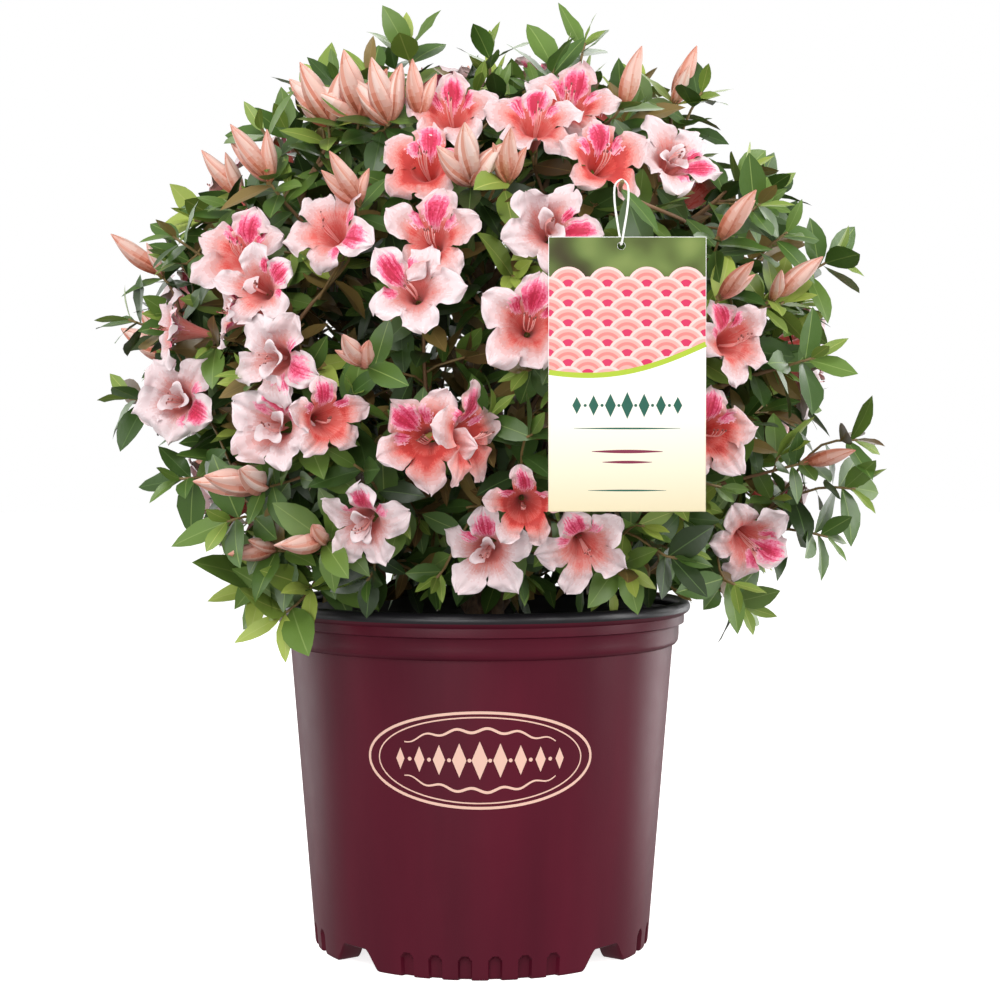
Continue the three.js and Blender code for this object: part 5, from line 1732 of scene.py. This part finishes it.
def lobe_points(tip, number, size, grid, random):
    """A lobe's grid of points"""
    rows, columns = grid
    u = np.linspace(0, 1, rows + 1)[:, None]
    v = np.linspace(-1, 1, columns + 1)[None]
    lobe_length = LOBE_LENGTH * size * random.uniform(0.86, 1.1)
    tube_length = BLOOM_DEPTH - LOBE_DEPTH * size
    line = lobe_line(u[:, 0], tube_length, lobe_length, random.normal(4, 12), tip["openness"])
    radius, height, lean = (part[:, None] for part in line)
    half_width = LOBE_HALF_WIDTH * size * random.uniform(0.88, 1.14)
    half = lobe_half_width(u[:, 0], radius[:, 0], half_width, tip["point"])[:, None]
    blade = smoothstep(0.42, 0.7, u)
    phase = random.uniform(0, WHOLE_TURN, 8)
    side = np.sign(v)
    outline = 0.07 * np.sin(u * 21 + phase[0] + side * phase[1]) + 0.04 * np.sin(u * 37 + phase[2] + side)
    sway = random.normal(0, 0.1) * smoothstep(0.4, 1.0, u)
    theta = number * 2 * HALF_LOBE + v * (half / radius) * (1 + blade * outline) + sway
    lift = blade * size * lobe_relief(u, v, phase, random)
    out = np.cos(theta)[..., None] * tip["lobe_way"] + np.sin(theta)[..., None] * tip["lobe_side"]
    out_radius = radius - lift * np.cos(lean)
    forward = height + lift * np.sin(lean)
    return tip["end"] + out * out_radius[..., None] + tip["way"] * forward[..., None]


print("a lobe of full size is", LOBE_LENGTH, "mm long")

# %% Colours of one lobe
THROAT_END = 0.42


def petal_depth(u, v, tone, random):
    """Depth of colour at each place of a lobe, as a number in the row of petal tones"""
    depth = 0.5 + 2.8 * tone + random.normal(0, 0.35)
    depth = depth + (2.4 + 3.8 * tone) * band(u, THROAT_END, 0.12)
    depth = depth + (1.0 + 1.6 * tone) * np.exp(-((v / 0.34) ** 2) - ((u - 0.52) / 0.17) ** 2)
    depth = depth + (0.3 + 2.4 * tone) * band(u, 0.6, 0.16)
    # Paler towards the edges of the blade: the petal's own pale rim, with a painted highlight of the edge
    # that curls back
    depth = depth - 1.1 * smoothstep(0.5, 1.0, np.abs(v)) * smoothstep(0.5, 0.72, u)
    depth = depth - (0.5 + 0.8 * tone) * smoothstep(0.74, 1.0, u)
    return mixed(5.8 + tone * 2.4, depth, smoothstep(0.28, 0.44, u))


def blotch_on(number, u, v):
    """Strength of the crimson blotch on its own lobe, and where it spills on to the next ones"""
    if number == 0:
        return 1.35 - ((u - 0.58) / 0.27) ** 2 - (v / 0.68) ** 2
    side = {1: -1.0, LOBES - 1: 1.0}.get(number)
    if side is None:
        return np.full(np.broadcast(u, v).shape, -1.0)
    return 0.95 - ((u - 0.52) / 0.18) ** 2 - ((v - side * 0.9) / 0.66) ** 2


def lobe_colours(number, tone, grid, random):
    """The colour number of every face of a lobe, drawn out into streaks that run to its tip"""
    rows, columns = grid
    u = (np.arange(rows) + 0.5)[:, None] / rows
    v = ((np.arange(columns) + 0.5)[None] / columns) * 2 - 1
    streak = random.uniform(-0.5, 0.5, (1, columns)) * 0.9
    streak = streak + random.uniform(-0.5, 0.5, (rows, columns)) * 0.5
    depth = petal_depth(u, v, tone, random)
    scatter = 0.7 + 0.8 * band(u, THROAT_END, 0.14)
    colours = np.clip(np.round(depth + streak * scatter), 0, len(PETAL_TONES) - 1)
    blotch = blotch_on(number, u, v) * random.uniform(0.75, 1.1) + streak * 0.7
    strength = np.clip(np.round(blotch * 4.9 - 0.6), 0, len(BLOTCH_TONES) - 1)
    return np.where(blotch > 0.06, FIRST_BLOTCH + strength, colours).astype(int)


print("the coral throat ends at", THROAT_END)

# %% Stamens
STAMENS = 6
FILAMENT_RINGS = 8


def add_anther(pile, path):
    """A brown knob on the end of a filament"""
    way = unit(path[-1] - path[-2])
    knob = [path[-1] - way * 0.2, path[-1] + way * 0.6, path[-1] + way * 1.6]
    ring, faces = tube(knob, [0.3, 0.6, 0.2], 5)
    pile.add(ring, faces, [ANTHER_SLOT, ANTHER_SLOT])


def add_stamens(pile, tip, size, random):
    """Curved filaments that lean to the lower side and turn up at their tips"""
    foot, way, up = tip["end"], tip["way"], tip["lobe_way"]
    down = -up
    for number in range(STAMENS):
        aside = tip["lobe_side"] * random.uniform(-0.5, 0.5) + down * 0.6
        reach = (28 if number == STAMENS - 1 else random.uniform(16, 24)) * size
        start = foot + way * 12 + aside * 1.5
        bend = foot + way * (BLOOM_DEPTH - 6) + aside * 7 * size
        end = foot + way * (BLOOM_DEPTH - 12 + reach) + aside * 9 * size + up * 7 * size
        handles = np.array([start, bend, mixed(bend, end, 0.5) + down * 2, end])
        path = curve_points(handles, np.linspace(0, 1, FILAMENT_RINGS))
        ring, faces = tube(path, np.linspace(0.42, 0.26, FILAMENT_RINGS), 4)
        pile.add(ring, faces, [STAMEN_SLOT, STAMEN_SLOT])
        add_anther(pile, path)


print("stamens in a bloom:", STAMENS)

# %% Inner petals and calyx
INNER_GRID = (12, 8)


def add_inner_petals(pile, tip, size, random):
    """Small pale petals that stand curled in the throat of some blooms"""
    rows, columns = INNER_GRID
    for number in range(tip["inner"] + 1 if tip["inner"] else 0):
        turn = random.uniform(-0.7, 0.7) + number * 2.1
        out = tip["lobe_way"] * math.cos(turn) + tip["lobe_side"] * math.sin(turn)
        side = np.cross(tip["way"], out)
        u = np.linspace(0, 1, rows + 1)[:, None]
        v = np.linspace(-1, 1, columns + 1)[None]
        phase = random.uniform(0, WHOLE_TURN)
        half = (1.8 + 4.4 * np.sin(u * math.pi * 0.82) + 0.5 * np.sin(u * 17 + phase)) * size
        forward = BLOOM_DEPTH - 16 + (17 + 4 * random.random()) * np.sin(u * 1.7) * size
        aside = 1.5 + 12 * u**1.5 * size - 1.8 * v**2
        curl = (1 - v**2) * 2.4 * np.sin(u * 2.8) + 0.8 * v * np.sin(u * 11 + phase)
        points = (
            tip["end"]
            + tip["way"] * (forward + curl * 0.4)[..., None]
            + out * (aside + curl)[..., None]
            + side * (half * v)[..., None]
        )
        tones = 4.6 - u[:-1] * 7.5 + random.uniform(-0.5, 0.5, INNER_GRID)
        slots = np.clip(np.round(tones), 0, 6).astype(int).ravel()
        pile.add(points, [ring_faces(rows + 1, columns + 1, closed=False)], [slots])


def add_calyx(pile, tip):
    """A small green cup with five points under the tube"""
    turn = np.arange(10) * math.pi / 5
    out = np.cos(turn)[:, None] * tip["lobe_way"] + np.sin(turn)[:, None] * tip["lobe_side"]
    foot = tip["end"] - tip["way"] * 2 + out * 1.1
    middle = tip["end"] + tip["way"] * 1.5 + out * 2.5
    reach = np.where(np.arange(10) % 2 == 0, 6.5, 2.5)[:, None]
    rim = tip["end"] + tip["way"] * reach + out * 2.9
    pile.add(np.concatenate([foot, middle, rim]), [ring_faces(3, 10)], [CALYX_SLOT])


print("faces of an inner petal:", math.prod(INNER_GRID))

# %% All the blooms
# Rows along and columns across a lobe, for the blooms of the front and for the others
FRONT_GRID, OTHER_GRID = (36, 24), (24, 14)
BLOOM_SIZE_RANGE = (0.72, 0.83)
bloom_random = np.random.default_rng(SEED + 2)


def settle_bloom(tip):
    """Gives a bloom without a given look one, and finds the direction of its blotched lobe"""
    given = tip.get("clock") is not None
    if not given:
        tip["clock"] = bloom_random.normal(0, 35)
        tip["tone"] = bloom_random.uniform(0.05, 0.85)
        tip["inner"] = int(bloom_random.integers(0, 3))
    tip["openness"] = bloom_random.uniform(0.84, 1.04)
    tip["point"] = bloom_random.uniform(0.56, 0.92)
    tip["way"] = unit(tip["way"] + bloom_random.normal(0, 0.09 if given else 0.16, 3))
    right = unit(np.cross(UP, tip["way"]))
    up = np.cross(tip["way"], right)
    clock = math.radians(tip["clock"])
    tip["lobe_way"] = up * math.cos(clock) + right * math.sin(clock)
    tip["lobe_side"] = np.cross(tip["way"], tip["lobe_way"])


def build_blooms(tips, grid):
    """The blooms of the upper half and those of the lower half, each in a pile"""
    level = sorted(tip["end"][2] for tip in tips)[(len(tips) + 1) // 2]
    piles = {"upper": Pile(), "lower": Pile()}
    for tip in tips:
        pile = piles["upper" if tip["end"][2] >= level else "lower"]
        settle_bloom(tip)
        size = tip["size"] * bloom_random.uniform(*BLOOM_SIZE_RANGE)
        for number in range(LOBES):
            points = lobe_points(tip, number, size, grid, bloom_random)
            colours = lobe_colours(number, tip["tone"], grid, bloom_random)
            faces = ring_faces(grid[0] + 1, grid[1] + 1, closed=False)
            pile.add(points, [faces], [colours.ravel()])
        add_stamens(pile, tip, size, bloom_random)
        add_inner_petals(pile, tip, size, bloom_random)
        add_calyx(pile, tip)
    return piles


front_blooms = sorted((tip for tip in blooms if tip.get("given")), key=lambda tip: -tip["end"][2])
other_blooms = [tip for tip in blooms if not tip.get("given")]
for place_name, tips, grid in (("front", front_blooms, FRONT_GRID), ("around", other_blooms, OTHER_GRID)):
    for half_name, pile in build_blooms(tips, grid).items():
        piece = mesh_object(f"blooms_{place_name}_{half_name}", pile, petal_materials)

# %% [markdown]
# ## Buds
# A bud is a pointed spindle of rolled petals, with spiral creases, coral at its foot and pale
# pink towards its tip. Two or three stand together above a whorl of leaves, and where they begin
# to open, three larger and paler ones stand apart. A smooth spindle with a bump would lose the
# creases from the side, so each one is a turned shape whose radius steps at every fold.

# %% Bud spindles
BUD_RINGS, BUD_SIDES, BUD_FOLDS = 16, 25, 5
BUD_SPIRAL = 1.1
BUD_TONES = ("#eacdc3", "#e4bdb0", "#deab9c", "#d69784", "#cb806a", "#bc6a50", "#a25239")


def bud_profile(shares):
    """The spindle's radius from its foot to its tip, as a share of its greatest"""
    swell = np.sin(shares**0.9 * math.pi) ** 0.8
    return np.maximum(0.05, 0.34 * (1 - shares) ** 0.7 + 0.82 * swell * (1 - 0.22 * shares))


def bud_colours(shares, fold, opening, random):
    u = (shares[:-1] + shares[1:])[:, None] / 2
    # The step at each fold's edge is darker, as the petal's edge is, and painted shade darkens the recess
    # under it
    crease = np.where(fold > 0.7, 2.6 if opening else 1.6, 0.0) + np.where(fold < 0.1, 0.6, 0.0)
    tone = 5.2 - 7.0 * np.clip(u, 0, 0.55) + crease[None] + random.uniform(-0.3, 0.3, (1, BUD_SIDES))
    tone = tone + 1.2 * smoothstep(0.75, 1.0, u) + random.normal(-0.7 if opening else 0, 0.4)
    return np.clip(np.round(tone), 0, len(BUD_TONES) - 1).astype(int)


def add_bud(pile, foot, way, length, radius, opening, random):
    """A spindle of rolled petals: each fold is pale, its edge darker, painted shade in the groove"""
    shares = np.linspace(0, 1, BUD_RINGS + 1)
    across, over = sideways(way, 0), sideways(way, math.pi / 2)
    column = np.arange(BUD_SIDES)
    fold = (column * BUD_FOLDS / BUD_SIDES) % 1.0
    spiral = shares[:, None] * BUD_SPIRAL
    turn = column * 2 * math.pi / BUD_SIDES - spiral + random.uniform(0, 6)
    height = 0.45 if opening else 0.32
    ring_radius = radius * bud_profile(shares)[:, None] * (0.82 + height * fold[None])
    lean = random.normal(0, 2.4)
    out = across * np.cos(turn)[..., None] + over * np.sin(turn)[..., None]
    middle = foot + way * (shares * length)[:, None] + across * (lean * shares**2)[:, None]
    points = middle[:, None] + out * ring_radius[..., None]
    slots = bud_colours(shares, fold, opening, random)
    pile.add(points, [ring_faces(BUD_RINGS + 1, BUD_SIDES)], [slots.ravel()])


def add_bud_scales(pile, foot, way):
    """A few green-brown scales that clasp the bud's foot"""
    for number in range(4):
        out = sideways(way, number * math.pi / 2)
        side = np.cross(way, out)
        root = foot - way * 1.5 + out * 1.6
        corners = [root - side * 1.6, root + side * 1.6, root + way * 4.5 + out * 1.2 + side * 1.9]
        corners += [root + way * 8.5 + out * 1.0, root + way * 4.5 + out * 1.2 - side * 1.9]
        pile.add(corners, [[[0, 1, 2, 4]], [[4, 2, 3]]], [len(BUD_TONES), len(BUD_TONES)])


print("triangles of a bud's spindle:", 2 * BUD_RINGS * BUD_SIDES)

# %% Groups of buds
# Buds of the front, by turn and rise, that begin to open, and the share of the others that do
OPENING_SPOTS = ((-34, 39), (-27, 40), (-20, 38), (-3, 25), (-41, -20))
OPENING_SHARE = 0.3
OPENING_SIZE = 1.12
BUD_RADIUS, CLOSED_GIRTH = 6.5, 0.9


def bud_group(tip, size, opening, random):
    """Foot, direction and size of each bud on one tip"""
    way, end = tip["way"], tip["end"]
    group = [(end, way, size)]
    for number in range(2 if opening else random.integers(1, 3)):
        out = sideways(way, number * 2.6 + random.uniform(0, 1))
        lean = random.uniform(0.5, 0.9) if opening else random.uniform(0.3, 0.6)
        side_way = unit(way * math.cos(lean) + out * math.sin(lean))
        share = random.uniform(0.85, 1.05) if opening else random.uniform(0.62, 0.9)
        group.append((end - way * random.uniform(1, 5), side_way, size * share))
    return group


def build_buds(tips):
    random = np.random.default_rng(SEED + 3)
    pile = Pile()
    for tip in tips:
        size = random.uniform(0.92, 1.1)
        opening = tip["spot"] in OPENING_SPOTS
        opening = opening or not tip.get("given") and random.random() < OPENING_SHARE
        size *= OPENING_SIZE if opening else 1.0
        girth = BUD_RADIUS * (1.0 if opening else CLOSED_GIRTH)
        for foot, bud_way, share in bud_group(tip, size, opening, random):
            add_bud(pile, foot, bud_way, BUD_LENGTH * share, girth * share, opening, random)
            add_bud_scales(pile, foot, bud_way)
    return pile


bud_tips = [tip for tip in main_tips if tip["kind"] == "bud"]
bud_materials = [petal(f"bud_{i}", tone) for i, tone in enumerate(BUD_TONES)]
bud_materials.append(surface("bud_scale", "#7d6438", 0.6, 400.0, 0.3, 0.0003))
buds = mesh_object("buds", build_buds(bud_tips), bud_materials)

# %% [markdown]
# ## Card and loop
# A card of printed board hangs from a hooked twig by a loop of white string. It shows a green
# field with a pattern of overlapping fans, a lime line, and a cream panel with a row of lozenges.
# Boards could be painted with a node pattern, but its edges would be soft. So the print is cut
# from flat shapes that lie a hair's breadth proud of the board, each row of fans over the last.

# %% Board and field of the card
CARD_GLOSS = (0.36, 0.5)


def card_board():
    """White board that turns to cream towards its foot"""
    material, tree, shader = new_material("card_board", "#f4efe0", 0.45, 0.3)
    place = tree.nodes.new("ShaderNodeTexCoord")
    parts = tree.nodes.new("ShaderNodeSeparateXYZ")
    tree.links.new(place.outputs["Object"], parts.inputs["Vector"])
    low = (CARD_CENTRE[2] - CARD_HEIGHT / 2) * MM
    share = tree.nodes.new("ShaderNodeMapRange")
    share.inputs["From Min"].default_value = low
    share.inputs["From Max"].default_value = low + 0.6 * CARD_HEIGHT * MM
    tree.links.new(parts.outputs["Z"], share.inputs["Value"])
    stops = [(0.0, "#dccfac"), (0.55, "#f3eede"), (1.0, "#fdfdfc")]
    vary_colour(tree, shader, share.outputs["Result"], stops)
    vary_roughness(tree, shader, noise_of(tree, 200.0), *CARD_GLOSS)
    return material


def mottled_green():
    """The card's upper field: soft dark and light greens, as of leaves out of focus"""
    material, tree, shader = new_material("card_field", "#55622a", 0.42, 0.3)
    stops = [(0.32, "#37300f"), (0.45, "#4a5522"), (0.58, "#66783a"), (0.7, "#7f8f4c")]
    vary_colour(tree, shader, noise_of(tree, 34.0, 1.5), stops)
    vary_roughness(tree, shader, noise_of(tree, 200.0), *CARD_GLOSS)
    return material


card_node = frame["nodes"]["card"]
card_node.data.materials.clear()
card_node.data.materials.append(card_board())
print("card material:", card_node.data.materials[0].name)

# %% Places on the card
CARD_FRONT = CARD_CENTRE[1] - CARD_THICKNESS / 2 - 0.06
CARD_CORNER = np.array([CARD_CENTRE[0] - CARD_WIDTH / 2, CARD_CENTRE[2] - CARD_HEIGHT / 2])
HOLE_ON_CARD = np.array(CARD_HOLE) - CARD_CORNER
HOLE_PATCH, HOLE_OPENING = 3.0, 2.3
MARGIN = 0.3
PANEL_PROUD, PANEL_BELOW, PRINT_LAYER = 0.65, 1.3, 0.03


def on_card(flat, proud=0.0):
    """Points of a flat drawing, in millimetres from the card's lower left corner"""
    flat = np.asarray(flat, float)
    x, z = flat[..., 0] + CARD_CORNER[0], flat[..., 1] + CARD_CORNER[1]
    return np.stack([x, np.full_like(x, CARD_FRONT - proud), z], axis=-1)


def field_edge(x):
    """The lower edge of the green field: it dips to the left"""
    return 80 + 16 * (x / CARD_WIDTH) ** 1.6 - 5 * np.sin(x / CARD_WIDTH * math.pi)


def add_grid(pile, x, low, high, slot, proud=0.0):
    """A flat patch between two rows of heights"""
    grid = np.stack([np.stack([x, np.broadcast_to(edge, x.shape)], axis=1) for edge in (low, high)])
    pile.add(on_card(grid, proud), [ring_faces(2, len(x), closed=False)], [slot])


print("hole from the card's corner, mm:", HOLE_ON_CARD.round(1))

# %% Field and fans
# Rings of a fan, from the largest: radius and number of the colour
FAN_RINGS = ((11.2, 2), (9.7, 3), (7.9, 4), (6.1, 3), (4.0, 5))
FAN_ROWS, FANS_IN_ROW, FAN_CORNERS = 11, 6, 25
FAN_STEP_ACROSS, FAN_STEP_DOWN, FIRST_FAN_ROW = 22.2, 5.6, 127


def add_field(pile):
    """The green field, with a round opening at the hole"""
    hole_x, hole_z = HOLE_ON_CARD
    left, right = hole_x - HOLE_PATCH, hole_x + HOLE_PATCH
    top = CARD_HEIGHT - MARGIN
    for low, high in ((MARGIN, left), (right, CARD_WIDTH - MARGIN)):
        x = np.linspace(low, high, 22)
        add_grid(pile, x, field_edge(x), top, 0)
    x = np.array([left, right])
    add_grid(pile, x, field_edge(x), hole_z - HOLE_PATCH, 0)
    add_grid(pile, x, hole_z + HOLE_PATCH, top, 0)
    turn = np.arange(32) * math.pi / 16
    way = np.stack([np.cos(turn), np.sin(turn)], axis=1)
    square = way * (HOLE_PATCH / np.abs(way).max(axis=1))[:, None]
    round_hole = np.concatenate([square, way * HOLE_OPENING]) + HOLE_ON_CARD
    pile.add(on_card(round_hole), [ring_faces(2, 32)], [0])


def fan(centre, size):
    """The upper part of a disc as a fan of triangles, cut off at the card's sides"""
    turn = np.linspace(-0.5, math.pi + 0.5, FAN_CORNERS)
    rim = np.stack([np.cos(turn) * size, np.sin(turn) * size], axis=1)
    points = np.concatenate([[[0, 0]], rim]) + np.asarray(centre)
    points[:, 0] = np.clip(points[:, 0], MARGIN, CARD_WIDTH - MARGIN)
    return points, np.array([[0, i + 1, i + 2] for i in range(FAN_CORNERS - 1)])


def add_fans(pile):
    """Rows of overlapping discs of rings in pinks: each row lies over the one above it"""
    for row in range(FAN_ROWS):
        height = FIRST_FAN_ROW - row * FAN_STEP_DOWN
        for i in range(FANS_IN_ROW):
            centre = (i * FAN_STEP_ACROSS - (0 if row % 2 else FAN_STEP_ACROSS / 2), height)
            for level, (size, slot) in enumerate(FAN_RINGS):
                points, faces = fan(centre, size)
                pile.add(on_card(points, 0.03 + 0.05 * row + 0.008 * level), [faces], [slot])


print("fans on the card:", FAN_ROWS * FANS_IN_ROW)

# %% Panel, lozenges and lines
LIME, CORAL, GREEN, BOARD = 1, 6, 7, 8
CARD_LOZENGES, BESIDE_STEP, LOZENGE_LEVEL = 3, 9.5, 60
# Plain lines of the panel: height, half length, half width and colour
CARD_LINES = ((47, 30, 0.5, CORAL), (34, 20, 1.0, GREEN), (28, 14, 0.8, GREEN), (12, 22, 0.5, CORAL))


def on_panel(pile, drawing, slot):
    points, faces = drawing
    pile.add(on_card(points, PANEL_PROUD + PRINT_LAYER), [faces], [slot])


def add_panel(pile):
    """The pale panel and the lime line on its upper edge: it covers the feet of the lowest fans"""
    x = np.linspace(MARGIN, CARD_WIDTH - MARGIN, 40)
    add_grid(pile, x, MARGIN, field_edge(x) - PANEL_BELOW, BOARD, PANEL_PROUD)
    edge = np.stack([x, field_edge(x) - PANEL_BELOW], axis=1)
    on_panel(pile, ribbon(edge, np.full(len(x), 1.5)), LIME)


def add_lozenges(pile):
    for i in range(-CARD_LOZENGES, CARD_LOZENGES + 1):
        across = CARD_WIDTH / 2 + i * BESIDE_STEP
        half_width, half_height = 3.4 - 0.3 * abs(i), 7.6 - 0.9 * abs(i)
        on_panel(pile, blob((across, LOZENGE_LEVEL), half_width, half_height, 4), CORAL)
        if i < CARD_LOZENGES:
            beside = across + BESIDE_STEP / 2
            on_panel(pile, blob((beside, LOZENGE_LEVEL), 0.9, 0.9, 12), CORAL)


def add_lines(pile):
    """Lines that narrow towards both ends"""
    narrowing = np.cos(np.linspace(-1.4, 1.4, 21))
    for height, half_length, half, slot in CARD_LINES:
        x = np.linspace(-half_length, half_length, 21) + CARD_WIDTH / 2
        on_panel(pile, ribbon(np.stack([x, np.full(21, height)], axis=1), half * narrowing), slot)


def build_card_print():
    pile = Pile()
    for add_part in (add_field, add_fans, add_panel, add_lozenges, add_lines):
        add_part(pile)
    return pile


CARD_TONES = ("#a9c034", "#f3cbc6", "#eea79f", "#e6837f", "#cf2f5b", "#1f5a4a", "#7a2440")
card_materials = [mottled_green()]
card_materials += [
    surface(f"card_ink_{i}", tone, 0.42, 600.0, 0.08, 0.0001, 0.3)
    for i, tone in enumerate(CARD_TONES)
]
card_materials.append(card_node.data.materials[0])
card_print = mesh_object("card_print", build_card_print(), card_materials, smooth=False)

# %% Path of the loop
LOOP_STEPS, LOOP_SIDES = 8, 8


def closed_curve(corners, steps):
    """A smooth closed curve through all the corners"""
    count = len(corners)
    path = []
    for i in range(count):
        a, b, c, d = (corners[(i + k) % count] for k in (-1, 0, 1, 2))
        for t in np.arange(steps) / steps:
            bend = (2 * a - 5 * b + 4 * c - d) * t**2
            path.append(0.5 * (2 * b + (c - a) * t + bend + (3 * b - a - 3 * c + d) * t**3))
    return path


def loop_corners():
    """The loop hangs over the hook, and goes through the hole round the card's upper edge"""
    x, y = CARD_HOLE[0], CARD_CENTRE[1]
    top = HOOK_UP + 1.5 + GAP + LOOP_RADIUS
    hole_top = CARD_HOLE[1] + CARD_HOLE_RADIUS
    through = hole_top - 2 * GAP - LOOP_RADIUS
    off = CARD_THICKNESS / 2 + GAP + LOOP_RADIUS
    side = [
        (LOOP_HALF_WIDTH * 0.8, 0, top - 2.6),
        (LOOP_HALF_WIDTH, 0, top - 8),
        (LOOP_HALF_WIDTH * 0.8, -off * 0.5, (top + hole_top) / 2),
        (0.8, -off - 0.4, hole_top + 3),
        (0.2, -off * 0.9, through + 0.2),
    ]
    corners = [(0, 0, top)] + side + [(0, 0, through)]
    corners += [(-across, -back, up) for across, back, up in reversed(side)]
    return np.array([(x + across, y + back, up) for across, back, up in corners])


print("corners of the loop:", len(loop_corners()))

# %% Loop
def build_loop():
    path = closed_curve(loop_corners(), LOOP_STEPS)
    # The tube's two ends overlap by one step, so that the ring has no gap
    path = np.array(path + [path[0], path[1]])
    ring, faces = tube(path, np.full(len(path), LOOP_RADIUS), LOOP_SIDES)
    pile = Pile()
    pile.add(ring, faces, [0, 0])
    return pile


loop_string = surface("loop_string", "#f3f3f0", 0.6, 900.0, 0.3, 0.0003)
loop = mesh_object("loop", build_loop(), [loop_string])
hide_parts("card_loop")
